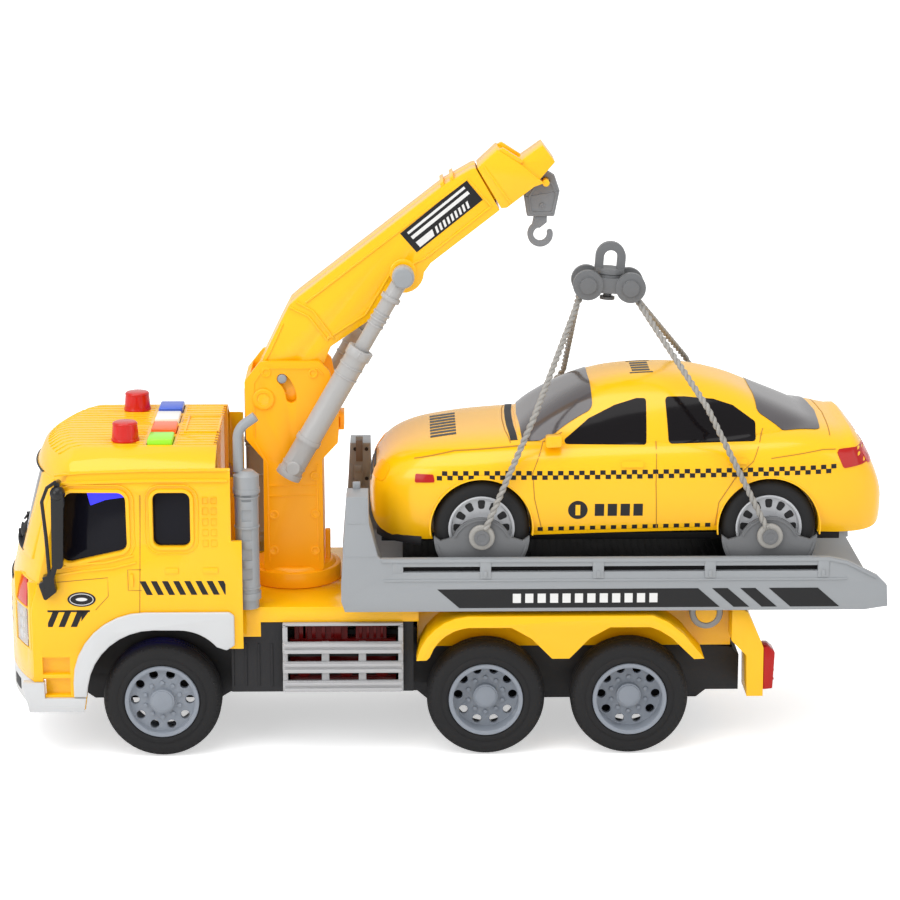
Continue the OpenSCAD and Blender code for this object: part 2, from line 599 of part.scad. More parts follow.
bed_side = [[-42.2, 65.5], [-43.7, 70], [-43.7, 78], [-42.1, 100.9], [-41.3, 115.2], [-32.2, 115.2], [-32, 104],
    [-28.4, 89.6], [-27.2, rail_z], [160.3, rail_z], [167.5, 87], [180.6, 80.3], [184.8, 76.1], [185.4, 67],
    [181.9, 66.5], [175.6, 65.5]];
post_line = [[-43.7, 75], [-43.7, 78], [-42.1, 100.9], [-41.3, 115.2], [-32.2, 115.2], [-32, 104], [-28.4, 89.6], [-26.4, 84], [-20, 75]];
clip_x = [-22.4, 14.3, 61.4, 108.2, 155.6];
bed_y = bed_w / 2;

module bed_frame() color(grey) difference() {
    union() {
        // floor with the sloping tail, and the two sides
        translate([-43.2, -52, 71.4]) cube([194, 104, 3.6]);
        xz(-52, 52) polygon([[150, 71.4], [150, 75], [156, 75], [183.5, 68.6], [184.6, 66.6], [181, 66.2], [156, 71.4]]);
        both() xz(bed_y - 2.6, bed_y) polygon(bed_side);
        // headboard posts with the low panel between them
        both() xz(39, bed_y - 1) polygon(post_line);
        translate([-43.2, -40, 66]) cube([3, 80, 26]);
        // hinge ears
        both() xz(37.4, 41) polygon([[103.9, 72], [103.7, 60.4], [117.7, 60.4], [117.5, 72]]);
        both() cross_bar([hinge_x, hinge_z], 37.4, 41, 7);
    }
    // slots below the rails
    for (i = [0:3]) both() translate([clip_x[i] + 4.6, bed_y - 5, 82.6]) cube([clip_x[i + 1] - clip_x[i] - 4.6, 8, 2.4]);
    both() cross_bar([hinge_x, hinge_z], 30, 45, 4.5 + running_gap);
    // small holes in the inner faces of the posts
    for (z = [98.8, 112.4]) for (x = [-39, -34]) both() cross_bar([x, z], 38, 40.4, 0.7);
}

module deck_mat() color(black) translate([-18, -51, 75]) cube([168, 102, mat_z - 75]);

// ---------------------------------------------------------------- buttons

module push_button(i) translate([button_x, button_y[i], 0]) {
    translate([-5.25, -7, roof_z - 2.2]) cube([10.5, 14, button_size[2] + 0.4]);
    translate([-6.4, -8, roof_z - 5]) cube([12.8, 16, 1.4]);
    translate([-2, -2, roof_z - 7.6]) cube([4, 4, 6]);
}
module button_blue() color([0.1, 0.3, 0.85]) push_button(0);
module button_white() color("white") push_button(1);
module button_orange() color([1, 0.4, 0.1]) push_button(2);
module button_green() color([0.45, 0.9, 0.1]) push_button(3);

// ---------------------------------------------------------------- taxi

taxi_lower = [[-20, 92.5], [-28, 97], [-31, 107], [-32, 114], [-29.5, 121.5], [-23, 127], [-8, 132.5], [10, 136.4], [30, 134.5],
    [152, 138], [164, 140.6], [173, 136.5], [180, 127], [183.5, 117], [188, 108.5], [186.4, 100.5], [180, 97], [150, 95.5], [30, 94.5], [0, 95.5]];
taxi_upper = [[26, 131], [30, 137], [39.5, 143.5], [50.3, 150.2], [60.3, 154.8], [72, 157.6], [90, 158.9], [104, 158],
    [118, 154.8], [136, 147.4], [156, 137.6], [156, 131]];

cabin_hollow = [[44, 110], [44, 135], [50, 143.6], [60, 150], [76, 154.6], [104, 154.6], [114, 151.8], [131, 144.8], [131, 110]];

// Soft plan shape of the taxi, n mm smaller all round
module taxi_plan(n) translate([0, 0, 60]) linear_extrude(120) polygon(concat(
    [[188.5 - n, -18], [188.5 - n, 18]], arc([166 - n, 23], 22.5, 0, 90, 4), [[150, 45.5 - n], [0, 45.5 - n]],
    arc([0, 18], 27.5 - n, 90, 150, 4), [[-32 + n, 8], [-32 + n, -8]],
    arc([0, -18], 27.5 - n, 210, 270, 4), [[0, n - 45.5], [150, n - 45.5]], arc([166 - n, -23], 22.5, 270, 360, 4)));

module taxi_body() color(yellow) difference() {
    intersection() {
        union() {
            xz(-46, 46) polygon(taxi_lower);
            xz(-35, 35) polygon(taxi_upper);
            both() translate([0, 0, 0]) xz(34, 40) polygon([for (p = taxi_upper) [p[0] * 0.9 + 9, (p[1] - 131) * 0.5 + 131]]);
        }
        taxi_plan(0);
    }
    // hollow inside, wheel arches and windows
    translate([-8, -31, 80]) cube([176, 62, 44]);
    xz(-31, 31) polygon(cabin_hollow);
    for (x = load_x) both() cross_bar([x, taxi_axle_z], 30.5, 60, taxi_tyre_r + 1.6);
    both() xz(30.5, 60) polygon([[52, 137.4], [82, 137.4], [82, 150.5], [66, 148.4]]);
    both() xz(30.5, 60) polygon([[92, 137.4], [128, 137.4], [128, 142], [112, 148.6], [92, 150.8]]);
}

module taxi_glass() color([0.05, 0.05, 0.06]) both() xz(29.4, 30.8) polygon([[47, 134], [50, 142], [60, 149], [76, 153.8],
    [104, 153.8], [114, 151], [129.5, 144.5], [129.5, 134]]);

module taxi_base() color([0.2, 0.2, 0.21]) difference() {
    union() {
        translate([-7.8, -30.8, 90]) cube([175.6, 61.6, 3]);
        for (x = load_x) both() translate([x - 5, 28, 90]) cube([10, 2.8, 14]);
        translate([-27, -28, 89]) cube([22, 56, 3.4]);
    }
    for (x = load_x) cross_bar([x, taxi_axle_z], -60, 60, 1.5 + running_gap);
}

// Axle with both wheels of the taxi
module taxi_wheels(x) {
    cross_bar([x, taxi_axle_z], -41, 41, 1.5);
    both() difference() {
        tyre(x, taxi_axle_z, taxi_tyre_r, 4, 12.5, 45.2);
        cross_bar([x, taxi_axle_z], 43, 46, 13.6);
    }
    both() cross_bar([x, taxi_axle_z], 34, 43.4, 4.6);
}
module taxi_front_wheels() color(black) taxi_wheels(load_x[0]);
module taxi_rear_wheels() color(black) taxi_wheels(load_x[1]);

// ---------------------------------------------------------------- lifting sling

cradle_z = 96.4;         // centre of the bosses on the cradle plates

module sling_cradles() color(grey) for (x = load_x) {
    both() difference() {
        xz(46, 48) polygon(concat([[x - 17.2, cradle_z - 2], [x - 20, cradle_z]], arc([x, cradle_z], 20.1, 186, 354, 16),
            [[x + 20, cradle_z], [x + 17.2, cradle_z - 2]], arc([x, 91.4], 13, 20, 160, 10)));
        cross_bar([x, cradle_z], 40, 60, 2.2);
    }
    // floor strip that passes below both wheels
    translate([x - 11, -46.5, 76.4]) cube([22, 93, 1.6]);
    // pins that hold the legs
    both() {
        cross_bar([x, cradle_z], 46, 50.4, 2.2);
        cross_bar([x, cradle_z], 50.3, 51.1, 3.1);
    }
}

// Each leg runs from a spreader pin past the roof and the body side to a cradle
spread_dx = [-spread, spread];
leg_knee = [[37, 46.9, 148], [108, 46.9, 152]];
far_knee = [[54, 46.9, 146], [109.2, 46.9, 151.5]];

// Round rod between two points
module bar(a, b, r) {
    v = b - a;
    translate(a) rotate([0, acos(v[2] / norm(v)), atan2(v[1], v[0])]) cylinder(r = r, h = norm(v));
}

module leg(i, s) {
    pin = [ring_x + spread_dx[i], s * 2.3, spreader_z - spread_dx[i] * 0.07];
    out = [pin[0] + (i == 0 ? -3.4 : 3.4), s * 3.2, pin[2] - 6.6];
    k = s < 0 ? leg_knee[i] : far_knee[i];
    knee = [k[0], s * k[1], k[2]];
    foot = [load_x[i] + (i == 0 ? 1.5 : -1.5), s * 49.9, cradle_z + 3.6];
    bar(pin + (out - pin) * 0.43, out, leg_d / 2);
    bar(out, knee, leg_d / 2);
    bar(knee, foot, leg_d / 2);
    for (p = [out, knee]) translate(p) sphere(r = leg_d / 2 + 0.3);
    // eyes round the upper pin and the cradle pin
    difference() {
        cross_bar([pin[0], pin[2]], s * 2.05 - 1.9, s * 2.05 + 1.9, 4.2);
        cross_bar([pin[0], pin[2]], -9, 9, 2.2);
    }
    difference() {
        cross_bar([load_x[i], cradle_z], s > 0 ? 48.3 : -50.3, s > 0 ? 50.3 : -48.3, 5.4);
        cross_bar([load_x[i], cradle_z], -60, 60, 2.2);
    }
}
module sling_legs() color([0.72, 0.71, 0.68]) for (i = [0, 1]) for (s = [-1, 1]) leg(i, s);

module spreader_frame() translate([ring_x, 0, spreader_z]) rotate([0, 4, 0]) children();

module sling_spreader() color(grey) spreader_frame() difference() {
    union() {
        for (x = spread_dx) both() {
            cross_bar([x, 0], 5, 8, 6.4);
            cross_bar([x, 0], 8, 9.2, 3.5);
        }
        for (x = spread_dx) cross_bar([x, 0], -9, 9, 2.2);
        translate([0, 0, -3.2]) cylinder(r = 4.6, h = 7.8);
        both() translate([-7, 4, -3]) cube([14, 3.2, 6.4]);
        translate([0, 0, 3]) cylinder(r = 6, h = 1.6);
    }
    translate([0, 0, -10]) cylinder(r = 1.8 + running_gap, h = 30);
}

module sling_ring() color(grey) spreader_frame() {
    translate([0, 0, 4.9]) cylinder(r = 6.4, h = 2);
    translate([0, 0, -5.6]) cylinder(r = 1.8, h = 11);
    translate([0, 0, -6.6]) cylinder(r = 3.2, h = 1.2);
    xz(-1.9, 1.9) difference() {
        polygon(concat([[6.4, 5.9]], arc([0, 11.8], 6.4, 0, 180, 16), [[-6.4, 5.9]]));
        polygon(concat([[2.9, 6.9]], arc([0, 11.8], 2.9, 0, 180, 12), [[-2.9, 6.9]]));
    }
}

// ---------------------------------------------------------------- nodes

chassis_frame();
rear_body();
cab_shell();
cab_glass();
cab_interior();
bumper();
wheel_arch_trims();
headlamp_lenses();
marker_lenses();
mirrors();
roof_beacons();
exhaust_stacks();
engine_guards();
engine_blocks();
tail_lights();
battery_cover();
batteries();
circuit_board();
speaker();
gearbox_case();
assembly_screws();
front_axle();
front_rims();
front_tyres();
middle_axle();
middle_rims();
middle_tyres();
rear_axle();
rear_rims();
rear_tyres();
drive_gear();
flywheel();
turret_base();
turret_left_shell();
turret_right_shell();
boom_pivot_pin();
boom_left_shell();
boom_right_shell();
boom_pins();
boom_extension();
hook_block();
hook();
cylinder_barrels();
barrel_pin();
cylinder_rods();
bed_frame();
deck_mat();
button_blue();
button_white();
button_orange();
button_green();
taxi_body();
taxi_glass();
taxi_base();
taxi_front_wheels();
taxi_rear_wheels();
sling_cradles();
sling_legs();
sling_spreader();
sling_ring();
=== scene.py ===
import bmesh
import bpy
import math
from mathutils import Matrix, Vector
from mathutils.bvhtree import BVHTree


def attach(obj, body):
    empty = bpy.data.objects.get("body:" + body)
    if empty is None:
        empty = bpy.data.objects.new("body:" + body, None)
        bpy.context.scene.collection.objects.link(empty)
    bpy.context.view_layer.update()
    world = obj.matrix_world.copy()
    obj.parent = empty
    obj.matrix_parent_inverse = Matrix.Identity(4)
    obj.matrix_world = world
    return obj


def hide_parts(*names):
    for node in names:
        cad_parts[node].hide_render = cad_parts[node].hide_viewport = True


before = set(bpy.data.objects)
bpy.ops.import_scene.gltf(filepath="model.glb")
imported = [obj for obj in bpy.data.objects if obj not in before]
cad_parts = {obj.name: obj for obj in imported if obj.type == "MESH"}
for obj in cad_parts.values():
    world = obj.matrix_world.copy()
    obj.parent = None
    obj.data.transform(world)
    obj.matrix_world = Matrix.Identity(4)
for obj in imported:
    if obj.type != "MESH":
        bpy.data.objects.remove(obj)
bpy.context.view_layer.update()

scene = bpy.context.scene
scene.view_settings.view_transform = "Standard"
MM = 0.001


# ------------------------------------------------------------------ camera and studio
# A long lens looks slightly down on the left side of the truck, which stands on a
# seamless white table under three large softboxes and in a bright, even room.
camera = bpy.data.objects.new("camera", bpy.data.cameras.new("camera"))
camera.data.lens = 110
camera.data.sensor_width = 36
camera.data.clip_end = 20
camera.location = Vector((-17.46, -1153.46, 413.54)) * MM
aim = Vector((2.67, 0, 121.63)) * MM - camera.location
camera.rotation_euler = aim.to_track_quat("-Z", "Y").to_euler()
scene.collection.objects.link(camera)
scene.camera = camera

table = bpy.data.meshes.new("table")
table.from_pydata([(-6, -6, 0), (6, -6, 0), (6, 6, 0), (-6, 6, 0)], [], [(0, 1, 2, 3)])
table_top = bpy.data.objects.new("table", table)
scene.collection.objects.link(table_top)
white_card = bpy.data.materials.new("white card")
white_card.use_nodes = True
card = white_card.node_tree.nodes["Principled BSDF"]
card.inputs["Base Color"].default_value = (0.93, 0.93, 0.93, 1)
card.inputs["Roughness"].default_value = 0.9
card.inputs["Specular IOR Level"].default_value = 0.1
card.inputs["Emission Color"].default_value = (1, 1, 1, 1)
lifted = white_card.node_tree.nodes.new("ShaderNodeMath")
lifted.operation = "MULTIPLY"
lifted.inputs[1].default_value = 0.5
direct = white_card.node_tree.nodes.new("ShaderNodeLightPath")
white_card.node_tree.links.new(direct.outputs["Is Camera Ray"], lifted.inputs[0])
white_card.node_tree.links.new(lifted.outputs[0], card.inputs["Emission Strength"])
table.materials.append(white_card)

room = bpy.data.worlds.new("white room")
room.use_nodes = True
soft_light = room.node_tree.nodes["Background"]
soft_light.inputs["Color"].default_value = (1, 1, 1, 1)
soft_light.inputs["Strength"].default_value = 0.76
backdrop = room.node_tree.nodes.new("ShaderNodeBackground")
backdrop.inputs["Color"].default_value = (1, 1, 1, 1)
backdrop.inputs["Strength"].default_value = 1.05
seen = room.node_tree.nodes.new("ShaderNodeLightPath")
either = room.node_tree.nodes.new("ShaderNodeMixShader")
room.node_tree.links.new(seen.outputs["Is Camera Ray"], either.inputs["Fac"])
room.node_tree.links.new(soft_light.outputs[0], either.inputs[1])
room.node_tree.links.new(backdrop.outputs[0], either.inputs[2])
room.node_tree.links.new(either.outputs[0], room.node_tree.nodes["World Output"].inputs["Surface"])
scene.world = room

for lamp_name, place, size, power in (
        ("overhead softbox", (-0.25, -0.35, 1.25), 1.1, 8.8),
        ("front softbox", (-1.1, -1.0, 0.75), 0.9, 7.2),
        ("right softbox", (1.2, -0.7, 0.6), 0.9, 3.2)):
    light = bpy.data.lights.new(lamp_name, "AREA")
    light.size = size
    light.energy = power
    lamp = bpy.data.objects.new(lamp_name, light)
    lamp.location = place
    lamp.rotation_euler = (Vector((0, 0, 0.1)) - Vector(place)).to_track_quat("-Z", "Y").to_euler()
    scene.collection.objects.link(lamp)


# ------------------------------------------------------------------ chassis tray
# The black tray carries the axles, cells and gearbox. It is one ABS moulding with a
# satin face, and four of its walls are the skirts seen between the wheels.
def marks_group():
    """Faint flow marks in the colour and a fine orange peel, as on any moulded part."""
    group = bpy.data.node_groups.new("moulding marks", "ShaderNodeTree")
    for label, kind, value in (("Colour", "NodeSocketColor", (1, 1, 1, 1)),
                               ("Roughness", "NodeSocketFloat", 0.35),
                               ("Flow", "NodeSocketFloat", 0.05), ("Grain", "NodeSocketFloat", 900)):
        group.interface.new_socket(name=label, in_out="INPUT", socket_type=kind).default_value = value
    for label, kind in (("Colour", "NodeSocketColor"), ("Roughness", "NodeSocketFloat"),
                        ("Height", "NodeSocketFloat")):
        group.interface.new_socket(name=label, in_out="OUTPUT", socket_type=kind)
    nodes, link = group.nodes, group.links.new
    given, result = nodes.new("NodeGroupInput"), nodes.new("NodeGroupOutput")
    place = nodes.new("ShaderNodeTexCoord").outputs["Object"]

    flow = nodes.new("ShaderNodeTexNoise")
    flow.inputs["Scale"].default_value = 22
    flow.inputs["Detail"].default_value = 4
    flow.inputs["Distortion"].default_value = 1.2
    link(place, flow.inputs["Vector"])
    swing = nodes.new("ShaderNodeMath")
    swing.operation = "MULTIPLY_ADD"
    link(flow.outputs["Fac"], swing.inputs[0])
    link(given.outputs["Flow"], swing.inputs[1])
    swing.inputs[2].default_value = 1.0
    centred = nodes.new("ShaderNodeMath")
    centred.operation = "MULTIPLY_ADD"
    link(given.outputs["Flow"], centred.inputs[0])
    centred.inputs[1].default_value = -0.5
    link(swing.outputs[0], centred.inputs[2])
    tinted = nodes.new("ShaderNodeVectorMath")
    tinted.operation = "SCALE"
    link(given.outputs["Colour"], tinted.inputs[0])
    link(centred.outputs[0], tinted.inputs["Scale"])
    link(tinted.outputs[0], result.inputs["Colour"])

    smudge = nodes.new("ShaderNodeTexNoise")
    smudge.inputs["Scale"].default_value = 75
    smudge.inputs["Detail"].default_value = 5
    link(place, smudge.inputs["Vector"])
    gloss = nodes.new("ShaderNodeMath")
    gloss.operation = "MULTIPLY_ADD"
    link(smudge.outputs["Fac"], gloss.inputs[0])
    gloss.inputs[1].default_value = 0.12
    link(given.outputs["Roughness"], gloss.inputs[2])
    link(gloss.outputs[0], result.inputs["Roughness"])

    peel = nodes.new("ShaderNodeTexNoise")
    peel.inputs["Detail"].default_value = 3
    link(place, peel.inputs["Vector"])
    link(given.outputs["Grain"], peel.inputs["Scale"])
    link(peel.outputs["Fac"], result.inputs["Height"])
    return group


moulding_marks = marks_group()


def plastic(name, colour, roughness=0.25, flow=0.05, grain=900, bump=0.05, coat=0.0, transmission=0.0,
            glow=0.0, specular=0.5):
    """A moulded plastic finish built on the moulding marks."""
    finish = bpy.data.materials.new(name)
    finish.use_nodes = True
    nodes, link = finish.node_tree.nodes, finish.node_tree.links.new
    shader = nodes["Principled BSDF"]
    marks = nodes.new("ShaderNodeGroup")
    marks.node_tree = moulding_marks
    marks.inputs["Colour"].default_value = (*colour, 1)
    marks.inputs["Roughness"].default_value = roughness - 0.06
    marks.inputs["Flow"].default_value = flow
    marks.inputs["Grain"].default_value = grain
    link(marks.outputs["Colour"], shader.inputs["Base Color"])
    link(marks.outputs["Roughness"], shader.inputs["Roughness"])
    if bump:
        peel = nodes.new("ShaderNodeBump")
        peel.inputs["Strength"].default_value = bump
        peel.inputs["Distance"].default_value = 0.0004
        link(marks.outputs["Height"], peel.inputs["Height"])
        link(peel.outputs["Normal"], shader.inputs["Normal"])
    shader.inputs["Coat Weight"].default_value = coat
    shader.inputs["Coat Roughness"].default_value = 0.06
    shader.inputs["Transmission Weight"].default_value = transmission
    shader.inputs["Specular IOR Level"].default_value = specular
    if glow:
        shader.inputs["Emission Color"].default_value = (*colour, 1)
        shader.inputs["Emission Strength"].default_value = glow
    return finish


def settle(piece):
    """Turns a piece with modifiers into the plain mesh that they make."""
    bpy.context.view_layer.update()
    shaped = bpy.data.meshes.new_from_object(piece.evaluated_get(bpy.context.evaluated_depsgraph_get()))
    piece.modifiers.clear()
    piece.data = shaped
    return piece


def soften(piece, angle=33):
    piece.data.shade_smooth()
    piece.data.set_sharp_from_angle(angle=math.radians(angle))
    return piece


def moulded(node, body, finish, edge=0.3, steps=2, limit=32):
    """The CAD piece with its moulded corners broken, riding on its body in place of the node."""
    piece = bpy.data.objects.new(node + "_moulding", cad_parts[node].data.copy())
    scene.collection.objects.link(piece)
    shape = bmesh.new()
    shape.from_mesh(piece.data)
    bmesh.ops.remove_doubles(shape, verts=shape.verts, dist=2e-6)
    bmesh.ops.dissolve_limit(shape, angle_limit=math.radians(0.4), verts=shape.verts, edges=shape.edges)
    shape.to_mesh(piece.data)
    shape.free()
    piece.data.materials.clear()
    piece.data.materials.append(finish)
    if edge:
        corner = piece.modifiers.new("broken corners", "BEVEL")
        corner.width = edge * MM
        corner.segments = steps
        corner.limit_method = "ANGLE"
        corner.angle_limit = math.radians(limit)
        corner.use_clamp_overlap = True
        settle(piece)
    soften(piece)
    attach(piece, body)
    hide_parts(node)
    return piece


satin_black = plastic("satin black ABS", (0.02, 0.02, 0.022), 0.5, 0.2, 1400, 0.12, specular=0.25)
moulded("chassis_frame", "truck", satin_black, 0.4)
moulded("battery_cover", "truck", satin_black, 0.3)


def new_piece(name, shape, finish, body, edge=0.0, limit=40, angle=33, outwards=True):
    """A piece from a mesh drawn in millimetres."""
    bmesh.ops.remove_doubles(shape, verts=shape.verts, dist=1e-4)
    if outwards:
        bmesh.ops.recalc_face_normals(shape, faces=shape.faces)
    bmesh.ops.scale(shape, vec=(MM, MM, MM), verts=shape.verts)
    mesh = bpy.data.meshes.new(name)
    shape.to_mesh(mesh)
    shape.free()
    mesh.materials.append(finish)
    piece = bpy.data.objects.new(name, mesh)
    scene.collection.objects.link(piece)
    if edge:
        corner = piece.modifiers.new("broken corners", "BEVEL")
        corner.width = edge * MM
        corner.segments = 2
        corner.limit_method = "ANGLE"
        corner.angle_limit = math.radians(limit)
        settle(piece)
    soften(piece, angle)
    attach(piece, body)
    return piece


def add_prism(shape, outline, y0, y1, both=False):
    """Adds a prism across the truck with an outline in x and z; both adds its twin at -y."""
    for sign in ((1, -1) if both else (1,)):
        ends = [[shape.verts.new((x, sign * y, z)) for x, z in outline] for y in (y0, y1)]
        shape.faces.new(ends[0])
        shape.faces.new(reversed(ends[1]))
        for i in range(len(outline)):
            j = (i + 1) % len(outline)
            shape.faces.new((ends[0][j], ends[0][i], ends[1][i], ends[1][j]))
    return shape


def bar_outline(x0, x1, z0, z1):
    return [(x0, z0), (x1, z0), (x1, z1), (x0, z1)]


# Moulded ribs stiffen the skirt ahead of and behind the engine bays.
skirt_ribs = bmesh.new()
for x in (-90.5, -85, -79.5, -74):
    add_prism(skirt_ribs, bar_outline(x, x + 0.9, 30, 49), 44.4, 45.3, both=True)
new_piece("skirt_ribs", skirt_ribs, satin_black, "truck", 0.2)


# ------------------------------------------------------------------ axles and wheels
# Each plated steel axle is pressed into two grey rims. The rims are ABS with hand holes,
# nuts and a centre cap; the tyres are hollow matt PVC stretched over them.
def steel_finish():
    finish = bpy.data.materials.new("plated steel")
    finish.use_nodes = True
    nodes, link = finish.node_tree.nodes, finish.node_tree.links.new
    shader = nodes["Principled BSDF"]
    shader.inputs["Metallic"].default_value = 1
    place = nodes.new("ShaderNodeTexCoord")
    turning = nodes.new("ShaderNodeMapping")
    turning.inputs["Scale"].default_value = (1, 30, 1)
    link(place.outputs["Object"], turning.inputs["Vector"])
    lines = nodes.new("ShaderNodeTexNoise")
    lines.inputs["Scale"].default_value = 300
    link(turning.outputs["Vector"], lines.inputs["Vector"])
    tone = nodes.new("ShaderNodeValToRGB")
    tone.color_ramp.elements[0].color = (0.42, 0.42, 0.43, 1)
    tone.color_ramp.elements[1].color = (0.72, 0.72, 0.73, 1)
    link(lines.outputs["Fac"], tone.inputs["Fac"])
    link(tone.outputs["Color"], shader.inputs["Base Color"])
    gloss = nodes.new("ShaderNodeMapRange")
    gloss.inputs["To Min"].default_value = 0.22
    gloss.inputs["To Max"].default_value = 0.42
    link(lines.outputs["Fac"], gloss.inputs["Value"])
    link(gloss.outputs["Result"], shader.inputs["Roughness"])
    return finish


plated_steel = steel_finish()
rim_plastic = plastic("blue grey ABS", (0.235, 0.26, 0.3), 0.34, 0.12, 1100, 0.08, specular=0.35)
tyre_pvc = plastic("matt black PVC", (0.016, 0.016, 0.017), 0.62, 0.25, 1800, 0.25, specular=0.2)
wheel_radius = 25.0
track = 101.0
wheel_sets = (("front", -120.0, 3.2), ("middle", 17.0, 7.6), ("rear", 78.0, 7.6))


def add_lathed(shape, profile, centre, toward=-1, steps=96):
    """Turns a closed profile of (radius, depth) points about an axis across the truck.
    Depth runs inwards from centre; toward is the side that the outer face looks to."""
    rings = []
    for i in range(steps):
        a = math.tau * i / steps
        rings.append([shape.verts.new((centre[0] + r * math.cos(a), centre[1] - toward * d,
                                       centre[2] + r * math.sin(a)))
                      for r, d in profile])
    for i in range(steps):
        a, b = rings[i], rings[(i + 1) % steps]
        for k in range(len(profile)):
            n = (k + 1) % len(profile)
            if profile[k][0] > 1e-6 or profile[n][0] > 1e-6:
                corners = [a[k], a[n], b[n], b[k]]
                if profile[n][0] < 1e-6:
                    corners = [a[k], a[n], b[k]]
                elif profile[k][0] < 1e-6:
                    corners = [a[k], a[n], b[n]]
                shape.faces.new(corners)
    return shape


def repeat_tree():
    """Copies a piece in equal steps along a line or round an axis across the truck."""
    tree = bpy.data.node_groups.new("repeat in steps", "GeometryNodeTree")
    for label, kind in (("Geometry", "NodeSocketGeometry"), ("Count", "NodeSocketInt"),
                        ("Step", "NodeSocketVector"), ("Turn", "NodeSocketFloat"),
                        ("Centre", "NodeSocketVector"), ("Finish", "NodeSocketMaterial")):
        tree.interface.new_socket(name=label, in_out="INPUT", socket_type=kind)
    tree.interface.new_socket(name="Geometry", in_out="OUTPUT", socket_type="NodeSocketGeometry")
    nodes, link = tree.nodes, tree.links.new
    given, result = nodes.new("NodeGroupInput"), nodes.new("NodeGroupOutput")
    number = nodes.new("GeometryNodeInputIndex").outputs[0]
    along = nodes.new("ShaderNodeVectorMath")
    along.operation = "SCALE"
    link(given.outputs["Step"], along.inputs[0])
    link(number, along.inputs["Scale"])
    angle = nodes.new("ShaderNodeMath")
    angle.operation = "MULTIPLY"
    link(given.outputs["Turn"], angle.inputs[0])
    link(number, angle.inputs[1])
    about = nodes.new("ShaderNodeCombineXYZ")
    link(angle.outputs[0], about.inputs["Y"])
    places = nodes.new("GeometryNodePoints")
    link(given.outputs["Count"], places.inputs["Count"])
    link(along.outputs[0], places.inputs["Position"])
    copies = nodes.new("GeometryNodeInstanceOnPoints")
    link(places.outputs[0], copies.inputs["Points"])
    link(given.outputs["Geometry"], copies.inputs["Instance"])
    link(about.outputs[0], copies.inputs["Rotation"])
    real = nodes.new("GeometryNodeRealizeInstances")
    link(copies.outputs[0], real.inputs[0])
    moved = nodes.new("GeometryNodeTransform")
    link(real.outputs[0], moved.inputs["Geometry"])
    link(given.outputs["Centre"], moved.inputs["Translation"])
    finish = nodes.new("GeometryNodeSetMaterial")
    link(moved.outputs[0], finish.inputs["Geometry"])
    link(given.outputs["Finish"], finish.inputs["Material"])
    link(finish.outputs[0], result.inputs[0])
    return tree


repeat_in_steps = repeat_tree()


def repeated(name, shape, finish, body, count, step=(0, 0, 0), turn=0.0, centre=(0, 0, 0),
             edge=0.0):
    """A row or ring of like pieces made with the repeat tree, as one plain mesh."""
    bmesh.ops.recalc_face_normals(shape, faces=shape.faces)
    bmesh.ops.scale(shape, vec=(MM, MM, MM), verts=shape.verts)
    mesh = bpy.data.meshes.new(name)
    shape.to_mesh(mesh)
    shape.free()
    piece = bpy.data.objects.new(name, mesh)
    scene.collection.objects.link(piece)
    if edge:
        corner = piece.modifiers.new("broken corners", "BEVEL")
        corner.width, corner.segments, corner.limit_method = edge * MM, 2, "ANGLE"
        settle(piece)
    rule = piece.modifiers.new("repeat", "NODES")
    rule.node_group = repeat_in_steps
    names = {item.name: item.identifier for item in repeat_in_steps.interface.items_tree
             if item.in_out == "INPUT"}
    rule[names["Count"]] = count
    rule[names["Step"]] = [v * MM for v in step]
    rule[names["Turn"]] = math.radians(turn)
    rule[names["Centre"]] = [v * MM for v in centre]
    rule[names["Finish"]] = finish
    settle(piece)
    soften(piece)
    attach(piece, body)
    return piece


for end, x, dish in wheel_sets:
    body = end + "_wheels"
    moulded(end + "_axle", body, plated_steel, 0.3)
    moulded(end + "_rims", body, rim_plastic, 0.25)
    tyres, caps = bmesh.new(), bmesh.new()
    for side in (-1, 1):
        outer = (x, side * (track / 2), wheel_radius)
        # one sidewall step by the rim, soft shoulders, and a shallow crowned tread with two grooves
        add_lathed(tyres, [(15.75, 0.9), (16.3, 0.25), (17.4, 0.05), (18.4, 0.25), (18.8, 0.6), (20.5, 0.3),
                           (22, 0.55), (23.3, 1.2), (24.2, 2.2), (24.75, 3.4), (25, 4.6), (25, 6.1),
                           (24.3, 6.3), (24.3, 6.9), (25, 7.1), (25, 9.0), (24.3, 9.2), (24.3, 9.8),
                           (25, 10), (25, 11.2), (24.6, 12.6), (23.6, 14.2), (21.5, 15.2), (17, 15.4),
                           (15.75, 14.6)], outer, side, 120)
        # raised cap over the axle end, and the outer lip of the rim
        add_lathed(caps, [(0, dish - 3.0), (3.6, dish - 3.0), (4.5, dish - 2.7), (4.9, dish - 2.0),
                          (4.9, dish + 0.4), (0, dish + 0.4)], outer, side, 48)
        add_lathed(caps, [(14.2, 0.1), (14.7, -0.1), (15.5, -0.1), (15.75, 0.25), (15.75, 1.6), (14.1, 1.6)],
                   outer, side, 96)
    tyre = new_piece(end + "_tyre_pair", tyres, tyre_pvc, body, angle=50)
    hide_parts(end + "_tyres")
    new_piece(end + "_rim_caps", caps, rim_plastic, body, angle=40)
    for side, word in ((-1, "left"), (1, "right")):
        # fine transverse nicks round both shoulders of the tread
        lug = bmesh.new()
        add_prism(lug, [(22.6, -0.35), (23.9, -0.3), (23.9, 0.3), (22.6, 0.35)], -0.5, 0.5)
        repeated(f"{end}_{word}_tyre_lugs", lug, tyre_pvc, body, 56, turn=360 / 56,
                 centre=(x, side * (track / 2 - 1.6), wheel_radius))


